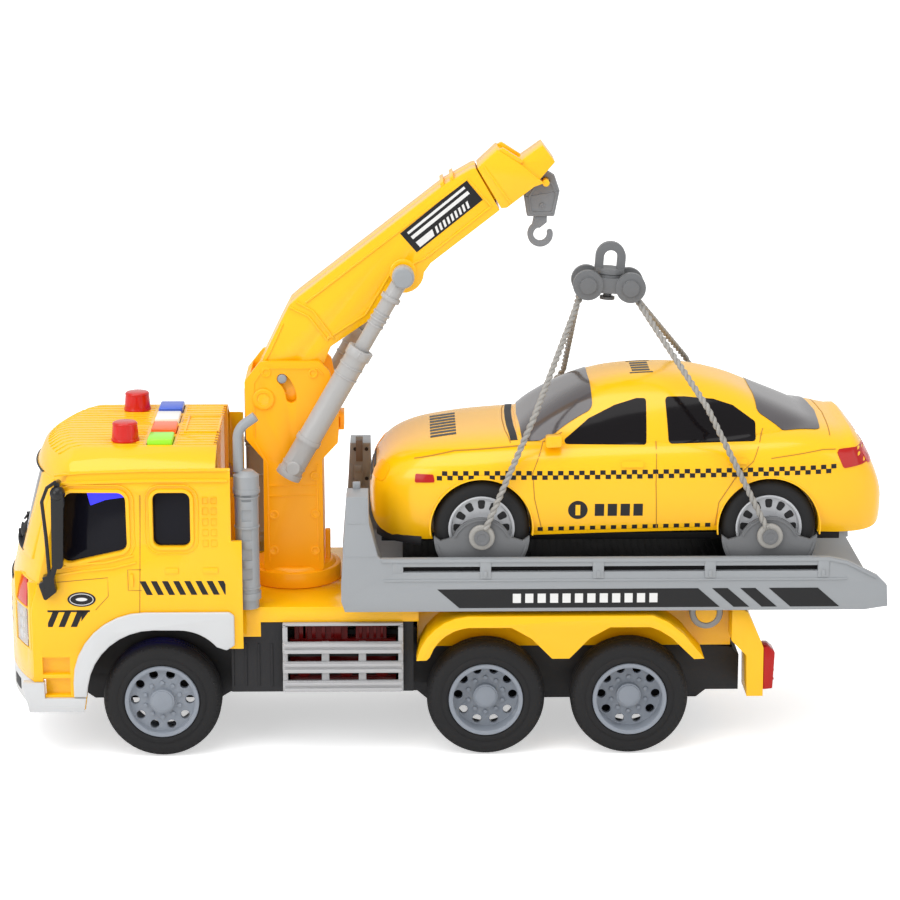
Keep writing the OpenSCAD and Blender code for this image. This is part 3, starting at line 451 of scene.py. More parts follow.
# ------------------------------------------------------------------ engine bays
# Dark red moulded engine details stand in each skirt behind a pale three-bar guard
# with a frame round its upper half. Guard and engine are clipped in from outside.
silver_plastic = plastic("silver white ABS", (0.56, 0.57, 0.58), 0.3, 0.04, 1200, 0.05, coat=0.15)
dark_red = plastic("dark red styrene", (0.1, 0.004, 0.004), 0.2, 0.3, 700, 0.08, specular=0.2)
guard_grey = plastic("pale silver ABS", (0.4, 0.4, 0.41), 0.32, 0.05, 1200, 0.05)
moulded("engine_guards", "truck", guard_grey, 0.25)
moulded("engine_blocks", "truck", dark_red, 0.3)

guard_frame = bmesh.new()
for outline in (bar_outline(-68.8, -67.4, 50, 58), bar_outline(-19.3, -17.9, 50, 58),
                bar_outline(-68.8, -17.9, 57.2, 58.4)):
    add_prism(guard_frame, outline, 44.9, 47.2, both=True)
new_piece("guard_frames", guard_frame, guard_grey, "truck", 0.3)

engine_detail = bmesh.new()
for x in (-60.5, -56.5, -52.5, -48.5):
    add_prism(engine_detail, bar_outline(x, x + 1.6, 50.5, 57.0), 42.4, 43.6, both=True)
for x in (-36.5, -33.5, -30.5, -27.5):
    add_prism(engine_detail, bar_outline(x, x + 1.2, 50.5, 56.4), 42.4, 43.4, both=True)
for z in (33, 36.5, 40, 43.5, 47):
    add_prism(engine_detail, bar_outline(-64, -23, z, z + 1.1), 42.9, 43.7, both=True)
new_piece("engine_fins", engine_detail, dark_red, "truck", 0.25)
bay_edges = bmesh.new()
for outline in (bar_outline(-67.8, -20, 43, 44.2), bar_outline(-67.8, -20, 35, 36.2)):
    add_prism(bay_edges, outline, 42.9, 44.9, both=True)
new_piece("bay_ledges", bay_edges, satin_black, "truck", 0.2)


# ------------------------------------------------------------------ rear body
# The yellow deck with its double mudguards and tail panel is one glossy ABS moulding
# screwed down onto the tray. Red lamp blocks are pushed into the tail panel.
yellow_plastic = plastic("glossy yellow ABS", (0.95, 0.5, 0.003), 0.22, 0.04, 800, 0.03, coat=0.2,
                         specular=0.4)
moulded("rear_body", "truck", yellow_plastic, 0.5)
red_lens = plastic("red translucent styrene", (0.7, 0.014, 0.009), 0.14, 0.2, 600, 0.04, coat=0.2,
                   transmission=0.3, glow=0.06, specular=0.35)
deep_red_lens = plastic("deep red styrene", (0.42, 0.006, 0.004), 0.16, 0.2, 600, 0.04, coat=0.1,
                        specular=0.3)
moulded("tail_lights", "truck", deep_red_lens, 0.5)
lamp_ribs = bmesh.new()
for z in (32, 36, 40):
    add_prism(lamp_ribs, bar_outline(138.6, 139.5, z, z + 1.0), 39, 46.6, both=True)
new_piece("tail_light_ribs", lamp_ribs, deep_red_lens, "truck", 0.2)


# ------------------------------------------------------------------ cab
# The cab is one glossy yellow ABS shell, with ribs on its roof, raised frames round the
# windows, a drip ridge, fine dark lines of painted shade for the seams round the door, and steps ahead of the
# wheel.
cab_front = -87.3        # centre of the curve of the front, seen from above
cab_side = 52.5
roof = 133.5


def cut_from(piece, cutter):
    """Cuts a drawn shape out of a piece."""
    bmesh.ops.recalc_face_normals(cutter, faces=cutter.faces)
    bmesh.ops.scale(cutter, vec=(MM, MM, MM), verts=cutter.verts)
    mesh = bpy.data.meshes.new("cutter")
    cutter.to_mesh(mesh)
    cutter.free()
    tool = bpy.data.objects.new("cutter", mesh)
    scene.collection.objects.link(tool)
    work = piece.modifiers.new("cut", "BOOLEAN")
    work.object, work.operation, work.solver = tool, "DIFFERENCE", "EXACT"
    settle(piece)
    bpy.data.objects.remove(tool)
    return soften(piece)


def line_outline(points, width):
    """Outline of a line of the given width along points."""
    left, right = [], []
    for i, (x, z) in enumerate(points):
        a = Vector(points[max(i - 1, 0)])
        b = Vector(points[min(i + 1, len(points) - 1)])
        d = (b - a).normalized()
        n = Vector((-d.y, d.x)) * width / 2
        left.append((x + n.x, z + n.y))
        right.append((x - n.x, z - n.y))
    return left + right[::-1]


def arc_points(cx, cz, r, a0, a1, steps=8):
    return [(cx + r * math.cos(math.radians(a0 + (a1 - a0) * i / steps)),
             cz + r * math.sin(math.radians(a0 + (a1 - a0) * i / steps)))
            for i in range(steps + 1)]


def rounded(outline, r, steps=5):
    """The outline with its corners rounded."""
    points = []
    for i, q in enumerate(outline):
        q = Vector(q)
        a = (Vector(outline[i - 1]) - q).normalized()
        b = (Vector(outline[(i + 1) % len(outline)]) - q).normalized()
        half = math.acos(max(-1, min(1, a.dot(b)))) / 2
        reach = r / math.tan(half)
        p, s, c = q + a * reach, q + b * reach, q + (a + b).normalized() * (r / math.sin(half))
        for k in range(steps + 1):
            d = (p - c).lerp(s - c, k / steps).normalized() * r
            points.append((c.x + d.x, c.y + d.y))
    return points


def grown(outline, d):
    """The outline moved outwards by d."""
    area = sum(outline[i - 1][0] * p[1] - p[0] * outline[i - 1][1] for i, p in enumerate(outline))
    points = []
    for i, p in enumerate(outline):
        e = (Vector(outline[(i + 1) % len(outline)]) - Vector(outline[i - 1])).normalized()
        n = Vector((e.y, -e.x)) * (d if area > 0 else -d)
        points.append((p[0] + n.x, p[1] + n.y))
    return points


def add_frame(shape, outline, width, y0, y1):
    """A flat frame of the given width outside an outline, on both sides of the truck."""
    outer = grown(outline, width)
    for sign in (1, -1):
        edges = ((y0, outline), (y0, outer), (y1, outer), (y1, outline))
        loops = [[shape.verts.new((x, sign * y, z)) for x, z in line] for y, line in edges]
        for i in range(len(outline)):
            j = (i + 1) % len(outline)
            for a, b in ((0, 1), (1, 2), (2, 3), (3, 0)):
                shape.faces.new((loops[a][i], loops[a][j], loops[b][j], loops[b][i]))
    return shape


moulded("cab_shell", "truck", yellow_plastic, 0.45)
# The seams are not cut in: thin dark lines at the shell's face paint the shade of a groove.
seam_shade = plastic("shaded seam", (0.45, 0.2, 0.002), 0.6, 0.1, 900, 0.0)
seams = bmesh.new()
for line in ([(-128.1, 64), (-127.0, 100)], [(-126.9, 75), (-132.6, 75), (-132.6, 84), (-126.9, 84)],
             [(-170.5, 78), (-141, 80.6), (-141, 72.5), (-146.5, 66.5)]):
    add_prism(seams, line_outline(line, 0.38), cab_side - 0.3, cab_side + 0.04, both=True)
add_prism(seams, line_outline([(-127.0, 100), (-126.7, 116)], 0.38), cab_side - 0.5, cab_side, both=True)
new_piece("door_seam_shade", seams, seam_shade, "truck")

front_glass_edge = rounded([(-132.6, 92.6), (-132.9, 117.1), (-157.9, 117.3), (-160.5, 86.4)], 3.5)
rear_glass_edge = rounded(bar_outline(-121.6, -106.2, 94, 117.1), 3)
frames = bmesh.new()
add_frame(frames, grown(front_glass_edge, 0.1), 1.5, cab_side - 0.7, cab_side + 0.6)
add_frame(frames, grown(rear_glass_edge, 0.1), 1.5, cab_side - 0.7, cab_side + 0.6)
add_frame(frames, grown(front_glass_edge, 3.0), 0.5, cab_side - 0.5, cab_side + 0.3)
add_frame(frames, grown(rear_glass_edge, 3.0), 0.5, cab_side - 0.5, cab_side + 0.3)
new_piece("window_frames", frames, yellow_plastic, "truck", 0.35)

ridges = bmesh.new()
add_prism(ridges, line_outline([(-163.5, 119.6), (-158, 121.3), (-127, 122.2), (-90.5, 122.2)], 1.3),
          cab_side - 1.7, cab_side + 0.1, both=True)
add_prism(ridges, line_outline([(-162, 124.4), (-150, 125.6), (-127, 126.3), (-90.5, 126.4)], 0.9),
          cab_side - 2.3, cab_side - 0.7, both=True)
# the swage below the front window, the lip under the doors, handles and vents
add_prism(ridges, line_outline([(-165.8, 84.5), (-152, 86.6), (-141, 87.4), (-130, 90.3)], 0.9),
          cab_side - 0.4, cab_side + 0.5, both=True)
add_prism(ridges, line_outline([(-165.5, 81.4), (-150, 83.8), (-139, 84.8), (-129, 87.3)], 0.9),
          cab_side - 0.4, cab_side + 0.5, both=True)
for x0, x1 in ((-117, -111.5), (-101.3, -95)):
    add_prism(ridges, bar_outline(x0, x1, 82.3, 84.7), cab_side - 0.2, cab_side + 0.5, both=True)
add_prism(ridges, bar_outline(-131.6, -130.4, 76.5, 82.3), cab_side - 0.2, cab_side + 0.9, both=True)
for z in (94, 98.6, 103.2, 107.8, 112.4):
    for x in (-101, -97.4):
        add_frame(ridges, bar_outline(x, x + 2.0, z, z + 2.6), 0.35, cab_side - 0.3, cab_side + 0.3)
new_piece("cab_ridges", ridges, yellow_plastic, "truck", 0.2)


def front_x(radius, y):
    """Where the curved front of the cab is, for its radius at some height."""
    return cab_front - math.sqrt(radius * radius - y * y)


roof_ribs = bmesh.new()
for i in range(-8, 9):
    y = i * 4.4
    under = [(-126.6, roof - 0.3), (front_x(74, y), roof - 0.3), (front_x(78, y), roof - 1.3),
             (front_x(82.5, y), 129.4)]
    over = [(x - 0.15, z + 0.5) for x, z in reversed(under)]
    over[-1] = (-126.6, roof + 0.25)
    for outline in (under + over, bar_outline(-112.8, -95.7, roof - 0.3, roof + 0.25)):
        add_prism(roof_ribs, outline, y - 0.45, y + 0.45)
new_piece("roof_ribs", roof_ribs, yellow_plastic, "truck", 0.18)

roof_hatch = bmesh.new()
for y0, y1 in ((-14.6, -13.6), (13.6, 14.6)):
    add_prism(roof_hatch, bar_outline(-110.5, -96.2, roof - 0.2, roof + 0.6), y0, y1)
for x in (-111, -97):
    add_prism(roof_hatch, bar_outline(x, x + 0.9, roof - 0.2, roof + 0.6), -14.6, 14.6)
new_piece("roof_hatch", roof_hatch, yellow_plastic, "truck", 0.2)


def add_curved_band(shape, r0, r1, y0, y1, z0, z1, steps=40):
    """A band that follows the curved front of the cab between two heights."""
    rings = []
    for i in range(steps + 1):
        y = y0 + (y1 - y0) * i / steps
        corners = ((r0, z0), (r1, z0), (r1, z1), (r0, z1))
        rings.append([shape.verts.new((front_x(r, y), y, z)) for r, z in corners])
    for a, b in zip(rings, rings[1:]):
        for k in range(4):
            n = (k + 1) % 4
            shape.faces.new((a[k], a[n], b[n], b[k]))
    shape.faces.new(rings[0])
    shape.faces.new(reversed(rings[-1]))
    return shape


# Black grille bars, the windscreen's rubber and its two wipers sit on the curved front.
grille = bmesh.new()
for z in (52, 56.4, 60.8):
    add_curved_band(grille, 98, 100.7, -23, 23, z, z + 2.6)
add_curved_band(grille, 97, 100.2, -20, 20, 70.5, 72.6)
new_piece("front_grille", grille, satin_black, "truck", 0.3)
screen_edge = bmesh.new()
add_curved_band(screen_edge, 94, 96.9, -33, 33, 86.6, 87.4)
add_curved_band(screen_edge, 86, 88.0, -33, 33, 120.8, 121.4)
new_piece("windscreen_rubber", screen_edge, satin_black, "truck", 0.2)
wipers = bmesh.new()
for y in (-24, 3):
    add_curved_band(wipers, 94.8, 95.6, y, y + 21, 90.6, 91.3, 20)
    add_curved_band(wipers, 94.8, 96.6, y + 10, y + 11, 86.5, 91.2, 4)
new_piece("wipers", wipers, satin_black, "truck", 0.15)


# Yellow pillars close the ends of the windscreen, flush with its face.
def screen_radius(z):
    """Radius of the windscreen's curve at a height."""
    return 96.9 - (z - 87) * 0.262


screen_foot, screen_head = 86.6, 121.4
pillar_y = (31, 35, 39, 43, 44.5)
pillars = bmesh.new()
for side in (-1, 1):
    loops = []
    for z in [screen_foot + (screen_head - screen_foot) * k / 8 for k in range(9)]:
        outer, inner = screen_radius(z), screen_radius(z) - 1.4
        edge = [(outer, y) for y in pillar_y] + [(inner, y) for y in reversed(pillar_y)]
        loops.append([pillars.verts.new((front_x(r, side * y), side * y, z)) for r, y in edge])
    for a, b in zip(loops, loops[1:]):
        for i in range(len(a)):
            j = (i + 1) % len(a)
            pillars.faces.new((a[i], a[j], b[j], b[i]))
    pillars.faces.new(loops[0])
    pillars.faces.new(loops[-1])
new_piece("windscreen_pillars", pillars, yellow_plastic, "truck", 0.2)


# ------------------------------------------------------------------ cab windows and seats
# One smoked styrene band is welded inside the shell behind every window. The blue interior
# moulding shows through the top of the front windows; it and the blue head lining glow with painted light, as
# no lamp is in the cab.
smoked = plastic("smoked styrene", (0.005, 0.005, 0.009), 0.1, 0.05, 500, 0.0, specular=0.15)
# Painted glow: the blue interior gives off light of its own, though it is no lamp.
blue_interior_glow = plastic("blue interior styrene with painted glow", (0.02, 0.02, 0.75), 0.4, 0.1, 900, 0.1, glow=0.8)
moulded("cab_glass", "truck", smoked, 0.0)
moulded("cab_interior", "truck", blue_interior_glow, 0.8)
head_lining = bmesh.new()
add_prism(head_lining, [(-149, 117.2), (-133.4, 117.2), (-133.4, 114.6), (-141, 113.6), (-147.5, 111.2)],
          49.9, 50.25, both=True)
new_piece("glowing_blue_head_lining", head_lining, blue_interior_glow, "truck", 0.2)
steering = bmesh.new()
add_lathed(steering, [(8, 0), (9, -0.7), (10, 0), (9, 0.7)], (-148, -18, 92), -1, 40)
bmesh.ops.rotate(steering, cent=(-148, -18, 92), matrix=Matrix.Rotation(math.radians(90), 3, "Z"),
                 verts=steering.verts)
new_piece("steering_wheel", steering, satin_black, "truck")


# ------------------------------------------------------------------ cab stickers
# Glossy vinyl: black hazard bars on the door and the lower corner, and an oval badge
# with a plain ring in it. They are 0.1 mm thick and lie flat on the shell.
black_ink = plastic("black vinyl", (0.014, 0.014, 0.015), 0.32, 0.05, 700, 0.02, specular=0.25)
white_ink = plastic("white vinyl", (0.7, 0.7, 0.69), 0.3, 0.03, 700, 0.02)


def slanted(x, z0, z1, width, lean):
    return [(x, z1), (x + width, z1), (x + width + lean, z0), (x + lean, z0)]


def clipped(outline, x0, x1):
    """The outline cut off at x0 and x1."""
    kept = outline
    for limit, keep in ((x0, lambda p: p[0] >= x0 - 1e-9), (x1, lambda p: p[0] <= x1 + 1e-9)):
        line = []
        for i, q in enumerate(kept):
            p = kept[i - 1]
            if keep(p) != keep(q):
                t = (limit - p[0]) / (q[0] - p[0])
                line.append((limit, p[1] + t * (q[1] - p[1])))
            if keep(q):
                line.append(q)
        kept = line
    return kept


hazard = bmesh.new()
for i in range(8):
    add_prism(hazard, clipped(slanted(-127.8 + 4.65 * i, 73.0, 79.0, 2.5, 2.9), -127.8, -92), cab_side - 0.3,
              cab_side + 0.1, both=True)
add_prism(hazard, bar_outline(-166.6, -148.9, 65.7, 66.5), cab_side - 0.3, cab_side + 0.1, both=True)
for i in range(3):
    add_prism(hazard, clipped(slanted(-164.4 + 5.1 * i, 59.2, 65.9, 2.6, -2.9), -166.6, -148.9),
              cab_side - 0.3, cab_side + 0.1, both=True)
add_prism(hazard, [(-152.3, 65.9), (-149.4, 65.9), (-152.6, 61.6)], cab_side - 0.3, cab_side + 0.1, both=True)
new_piece("hazard_bars", hazard, black_ink, "truck")


def oval(cx, cz, a, b, steps=40):
    return [(cx + a * math.cos(math.tau * i / steps), cz + b * math.sin(math.tau * i / steps))
            for i in range(steps)]


badge, badge_ring = bmesh.new(), bmesh.new()
add_prism(badge, oval(-152.2, 71.2, 5.9, 3.2), cab_side - 0.3, cab_side + 0.12, both=True)
add_frame(badge_ring, oval(-152.2, 71.2, 4.7, 2.3), 0.3, cab_side - 0.2, cab_side + 0.17)
add_prism(badge_ring, oval(-152.2, 71.2, 2.4, 0.75), cab_side - 0.2, cab_side + 0.17, both=True)
new_piece("badge", badge, black_ink, "truck")
new_piece("badge_ring", badge_ring, white_ink, "truck")


# ------------------------------------------------------------------ bumper, arches, lamps
# The silver white bumper and wheel arch trims clip on. Clear headlamps with a moulded
# reflector and red marker lenses fill the two front corners.
moulded("bumper", "truck", silver_plastic, 0.5)
moulded("wheel_arch_trims", "truck", silver_plastic, 0.7, 3)
fog_lamps = bmesh.new()
for y in (-32, 32):
    add_curved_band(fog_lamps, 98, 100.9, y - 5, y + 5, 26.5, 31.5, 10)
new_piece("fog_lamps", fog_lamps, satin_black, "truck", 0.3)

clear_lens = plastic("clear styrene", (0.93, 0.95, 0.98), 0.1, 0.02, 600, 0.02, transmission=0.7)
chrome_backing = plastic("silvered reflector", (0.75, 0.76, 0.78), 0.25, 0.3, 300, 0.5, coat=0.8)
moulded("headlamp_lenses", "truck", clear_lens, 0.4)
moulded("marker_lenses", "truck", red_lens, 0.4)
reflectors = bmesh.new()
for z in (51.5, 56.3, 61.1):
    for y in (36.5, 41.5, 46.2):
        add_lathed(reflectors, [(0, -1.2), (1.9, -0.5), (2.2, 0.8), (0, 0.8)], (front_x(96.2, y), y, z + 1),
                   1, 16)
        add_lathed(reflectors, [(0, -1.2), (1.9, -0.5), (2.2, 0.8), (0, 0.8)], (front_x(96.2, y), -y, z + 1),
                   -1, 16)
new_piece("headlamp_reflectors", reflectors, chrome_backing, "truck")
lamp_frame = bmesh.new()
for y0, y1 in ((33.2, 34.2), (50.2, 51.4)):
    for s in (1, -1):
        add_curved_band(lamp_frame, 96, 101.0, min(s * y0, s * y1), max(s * y0, s * y1), 48.6, 78.2, 3)
for z in (48.3, 66.0, 77.6):
    for s in (1, -1):
        add_curved_band(lamp_frame, 96, 100.9 if z < 70 else 98.6, min(s * 34, s * 51), max(s * 34, s * 51),
                        z, z + 0.7, 16)
new_piece("lamp_frames", lamp_frame, yellow_plastic, "truck", 0.2)


# ------------------------------------------------------------------ mirrors
# Long black mirrors hang from a ball and arm at the roof and stand on a foot at the
# sill. Arm, ball and foot are one glossy ABS moulding with the mirror body.
gloss_black = plastic("gloss black ABS", (0.012, 0.012, 0.013), 0.22, 0.1, 900, 0.05, specular=0.35)
moulded("mirrors", "truck", gloss_black, 0.5, 3)
mirror_arms = bmesh.new()
add_prism(mirror_arms, line_outline([(-160.4, 123.2), (-164.4, 120.5), (-166.8, 114.5), (-165.6, 100),
                                     (-164.8, 84), (-166.4, 76.5)], 1.5),
          55.3, 56.9, both=True)
add_prism(mirror_arms, rounded([(-169.5, 79), (-163.4, 82.4), (-161.9, 75.6), (-167.2, 71.4)], 0.9), 52.3,
          56.6, both=True)
add_prism(mirror_arms, rounded([(-161.7, 118.4), (-157.4, 118.4), (-157.4, 112), (-161, 112)], 0.9), 54.6,
          57.6, both=True)
new_piece("mirror_arms", mirror_arms, gloss_black, "truck", 0.5)


# ------------------------------------------------------------------ roof lamps and buttons
# Two red styrene beacons and four coloured push buttons stand on the roof. Each button
# is a cap that clips up into its window over a switch.
moulded("roof_beacons", "truck", red_lens, 0.7, 3)
beacon_cores, beacon_rings = bmesh.new(), bmesh.new()
for y in (-28, 28):
    for r0, z0, z1 in ((5.95, roof, roof + 1.3), (5.35, roof + 7.1, roof + 7.7)):
        bmesh.ops.create_cone(beacon_rings, cap_ends=True, segments=48, radius1=r0, radius2=r0 - 0.05,
                              depth=z1 - z0, matrix=Matrix.Translation((-134.5, y, (z0 + z1) / 2)))
    bmesh.ops.create_cone(beacon_cores, cap_ends=True, segments=24, radius1=2.6, radius2=1.4, depth=5,
                          matrix=Matrix.Translation((-134.5, y, roof + 3.2)))
new_piece("beacon_rings", beacon_rings, red_lens, "truck", 0.25)
new_piece("beacon_bulbs", beacon_cores, chrome_backing, "truck", 0.2)
for hue, colour in (("blue", (0.03, 0.1, 0.62)), ("white", (0.83, 0.82, 0.8)),
                    ("orange", (0.9, 0.13, 0.015)), ("green", (0.3, 0.85, 0.015))):
    moulded("button_" + hue, hue + "_button",
            plastic(hue + " button ABS", colour, 0.3, 0.05, 900, 0.05, coat=0.3), 0.8, 3)


# ------------------------------------------------------------------ exhausts
# Each stack is a grey ABS can with sunk slots, a collar at each end, and a bent pipe
# that rises beside the crane. It is glued into a socket on the deck.
grey_plastic = plastic("satin grey ABS", (0.29, 0.305, 0.32), 0.36, 0.06, 1200, 0.08, specular=0.4)
pale_grey_plastic = plastic("pale grey ABS", (0.38, 0.375, 0.37), 0.34, 0.06, 1200, 0.08, specular=0.4)
moulded("exhaust_stacks", "truck", grey_plastic, 0.35)
stack_bands = bmesh.new()
for y in (-44, 44):
    for z in (74, 100.5, 113.5):
        bmesh.ops.create_cone(stack_bands, cap_ends=True, segments=48, radius1=5.35, radius2=5.35, depth=0.9,
                              matrix=Matrix.Translation((-83.1, y, z)))
new_piece("stack_bands", stack_bands, grey_plastic, "truck", 0.25)


# ------------------------------------------------------------------ works inside
# Cells, sound board, speaker and the friction drive are closed in by the tray and the
# shell. The drive gear turns a small steel flywheel; seven screws hold the shells.
acetal = plastic("white acetal", (0.72, 0.71, 0.66), 0.4, 0.05, 1000, 0.05)
cell_jacket = plastic("cell jacket", (0.5, 0.3, 0.03), 0.25, 0.3, 500, 0.03, coat=0.5)
board_green = plastic("green circuit board", (0.01, 0.14, 0.04), 0.35, 0.4, 2500, 0.2)
speaker_cone = plastic("speaker paper", (0.03, 0.03, 0.032), 0.7, 0.3, 2500, 0.4)
for node, body, finish in (("batteries", "truck", cell_jacket), ("circuit_board", "truck", board_green),
                           ("speaker", "truck", speaker_cone),
                           ("gearbox_case", "truck", acetal), ("drive_gear", "rear_wheels", acetal),
                           ("flywheel", "flywheel_rotor", plated_steel),
                           ("assembly_screws", "truck", plated_steel)):
    moulded(node, body, finish, 0.12)


# ------------------------------------------------------------------ crane turret
# A round base turns on the deck and carries the column, two amber shells screwed face
# to face. Round bosses, a latch at the back edge and a lever at the foot show outside.
# Painted light: the amber finish glows faintly for light through the shells, and its deeper orange than the
# yellow is partly painted shade.
amber_painted_glow = plastic("amber ABS with painted glow", (0.95, 0.4, 0.003), 0.32, 0.08, 900, 0.05, glow=0.12, specular=0.35)
for node in ("turret_base", "turret_left_shell", "turret_right_shell"):
    moulded(node, "turret", amber_painted_glow, 0.5)
moulded("boom_pivot_pin", "turret", yellow_plastic, 0.4)


def add_boss(shape, x, z, y, r, height, both=True, steps=28):
    """A low round boss with a sunk middle on the face at y."""
    for side in ((1, -1) if both else (-1,)):
        add_lathed(shape, [(0, 0.3), (0, -height * 0.35), (r * 0.55, -height * 0.35), (r * 0.6, -height),
                           (r * 0.92, -height), (r, -height * 0.7), (r, 0.3)],
                   (x, side * y, z), side, steps)
    return shape


column_side = 15.0       # half the width of the column
column_bosses = bmesh.new()
for x, z in ((-73.2, 97.1), (-55.3, 97.4), (-73.5, 81.2), (-55.5, 81.1), (-55.4, 114.3), (-55.6, 159.2),
             (-75.5, 159.6)):
    add_boss(column_bosses, x, z, column_side, 2.1, 0.5)
add_prism(column_bosses, line_outline([(-80.8, 131.5), (-80.9, 155), (-76.5, 161.6), (-54, 161.5),
                                       (-51.2, 158.5)], 0.8),
          column_side - 0.4, column_side + 0.35, both=True)
add_prism(column_bosses, line_outline([(-75.6, 76), (-75.6, 119.5), (-80.6, 129)], 0.8), column_side - 0.4,
          column_side + 0.35, both=True)
add_prism(column_bosses, line_outline([(-54.2, 76), (-54.4, 119.5)], 0.8), column_side - 0.4,
          column_side + 0.35, both=True)
for z in (105, 109.5):
    add_prism(column_bosses, bar_outline(-75.2, -54.4, z, z + 0.8), column_side - 0.4, column_side + 0.3,
              both=True)
for x0, x1, z0, z1 in ((-45.4, -42.9, 132.4, 139.3), (-46.5, -44.4, 133.5, 138.2)):
    add_prism(column_bosses, bar_outline(x0, x1, z0, z1), -6, 6)
add_boss(column_bosses, -76.8, 148.1, column_side + 0.3, 4.6, 0.7)
new_piece("column_bosses", column_bosses, amber_painted_glow, "turret", 0.2)

base_steps = bmesh.new()
bmesh.ops.create_cone(base_steps, cap_ends=True, segments=96, radius1=18.2, radius2=16.6, depth=1.6,
                      matrix=Matrix.Translation((-65, 0, 72.8)))
new_piece("turret_step", base_steps, amber_painted_glow, "turret", 0.3)


# ------------------------------------------------------------------ boom
# The cranked boom is two yellow shells with a sunk panel, a seam round the elbow and a
# black sticker with plain bars; the extension that slides out of it carries the head.
boom_side = 11.5         # half the width of the boom
for node in ("boom_left_shell", "boom_right_shell"):
    moulded(node, "boom", yellow_plastic, 0.45)
moulded("boom_pins", "boom", grey_plastic, 0.6, 3)
moulded("boom_extension", "extension", yellow_plastic, 0.5)

boom_trim = bmesh.new()
# raised border round the sunk side panel, from the elbow to the end of the boom
panel_edge = [(-58.6, 189.0), (9.8, 241.6), (19.8, 229.9), (-7.6, 208.2), (-23, 201), (-33.2, 183.8),
              (-50, 173.2)]
for a, b in zip(panel_edge[:-1], panel_edge[1:]):
    add_prism(boom_trim, line_outline([a, b], 0.9), boom_side - 0.3, boom_side + 0.45, both=True)
for line in ([(-65.6, 187.4), (-57.4, 183.2), (-49.2, 172.6)],
             [(-62.6, 189.6), (-55.6, 185.6), (-46.6, 173.4)]):
    add_prism(boom_trim, line_outline(line, 0.9), boom_side - 0.3, boom_side + 0.6, both=True)
add_prism(boom_trim, line_outline([(-79.6, 150), (-79.2, 158), (-74, 167.6), (-68.3, 180)], 0.8),
          boom_side - 0.3, boom_side + 0.4, both=True)
# two ribs across the top near the end, and the lug's stiffening ring
for x, z in ((-1.4, 238.8), (2.6, 241.2)):
    add_prism(boom_trim, [(x, z - 1), (x + 1.5, z - 0.1), (x + 1.1, z + 1.5), (x - 0.4, z + 0.6)],
              0.2 - boom_side, boom_side - 0.2)
add_boss(boom_trim, -17.3, 201.8, boom_side, 5.8, 0.8)
new_piece("boom_trim", boom_trim, yellow_plastic, "boom", 0.2)

boom_sticker, sticker_bars = bmesh.new(), bmesh.new()
start, far_top = Vector((-18.5, 218.4)), Vector((9.2, 241.0))
far_low, low = Vector((16.2, 232.6)), Vector((-11.5, 210.4))
add_prism(boom_sticker, [tuple(p) for p in (start, far_top, far_low, low)], boom_side - 0.2,
          boom_side + 0.12, both=True)


def on_sticker(u, v):
    """A place on the sticker, u along the boom and v down from its upper edge."""
    return tuple(start.lerp(far_top, u).lerp(low.lerp(far_low, u), v))


for k in range(9):
    u = 0.36 + 0.058 * k
    add_prism(sticker_bars, [on_sticker(u, 0.66), on_sticker(u + 0.03, 0.66), on_sticker(u, 0.92),
                             on_sticker(u - 0.03, 0.92)], boom_side, boom_side + 0.18, both=True)
add_prism(sticker_bars, [on_sticker(0.07, 0.66), on_sticker(0.32, 0.66), on_sticker(0.29, 0.92),
                         on_sticker(0.07, 0.92)], boom_side, boom_side + 0.18, both=True)
add_prism(sticker_bars, [on_sticker(0.07, 0.14), on_sticker(0.93, 0.14), on_sticker(0.93, 0.24),
                         on_sticker(0.07, 0.24)], boom_side, boom_side + 0.18, both=True)
add_prism(sticker_bars, [on_sticker(0.07, 0.36), on_sticker(0.93, 0.36), on_sticker(0.93, 0.5),
                         on_sticker(0.07, 0.5)], boom_side, boom_side + 0.18, both=True)
new_piece("boom_sticker", boom_sticker, black_ink, "boom")
new_piece("boom_sticker_bars", sticker_bars, white_ink, "boom")

head_trim = bmesh.new()
add_prism(head_trim, line_outline([(16.8, 246.6), (28.0, 230.9)], 1.0), 11.1, 11.9, both=True)
add_prism(head_trim, [(22.6, 253.2), (24.6, 254.2), (33.4, 248.6), (31.4, 247.2)], 7.5, 10.6, both=True)
new_piece("head_trim", head_trim, yellow_plastic, "extension", 0.25)


# ------------------------------------------------------------------ hook
# A grey block swings in the boom's head and holds the hook. Block and hook are one
# acetal moulding with a cast-in shank and two cheek plates.
hook_grey = plastic("grey acetal", (0.2, 0.205, 0.215), 0.38, 0.08, 1400, 0.1, specular=0.4)
moulded("hook_block", "hook_assembly", hook_grey, 0.5, 3)
moulded("hook", "hook_assembly", hook_grey, 0.6, 3)
cheeks = bmesh.new()
add_frame(cheeks, rounded([(37.2, 226), (45.6, 226), (47.2, 233.5), (45.2, 238), (39.8, 238), (36.4, 232.4)],
                          1.2), 0.8, 2.8, 3.35)
add_boss(cheeks, 41.6, 228.6, 3.0, 1.3, 0.35)
new_piece("hook_cheeks", cheeks, hook_grey, "hook_assembly", 0.12)


# ------------------------------------------------------------------ lift cylinders
# Two grey dummy cylinders lift the boom: each rod slides in its barrel, with a gland
# nut at the mouth, a band near the foot and a round knob on the boom's pin.
moulded("cylinder_barrels", "barrels", pale_grey_plastic, 0.4)
moulded("barrel_pin", "barrels", grey_plastic, 0.4)
moulded("cylinder_rods", "rods", pale_grey_plastic, 0.4)
foot = Vector((-64.2, 0, 120.3))
along = Vector((0.4988, 0, 0.8667))
lean = Vector((0, 0, 1)).rotation_difference(along).to_matrix().to_4x4()


def add_ring_on_cylinder(shape, y, distance, r0, r1, length, sides=40):
    place = foot + Vector((0, y, 0)) + along * distance
    bmesh.ops.create_cone(shape, cap_ends=True, segments=sides, radius1=r0, radius2=r1, depth=length,
                          matrix=Matrix.Translation(place) @ lean)


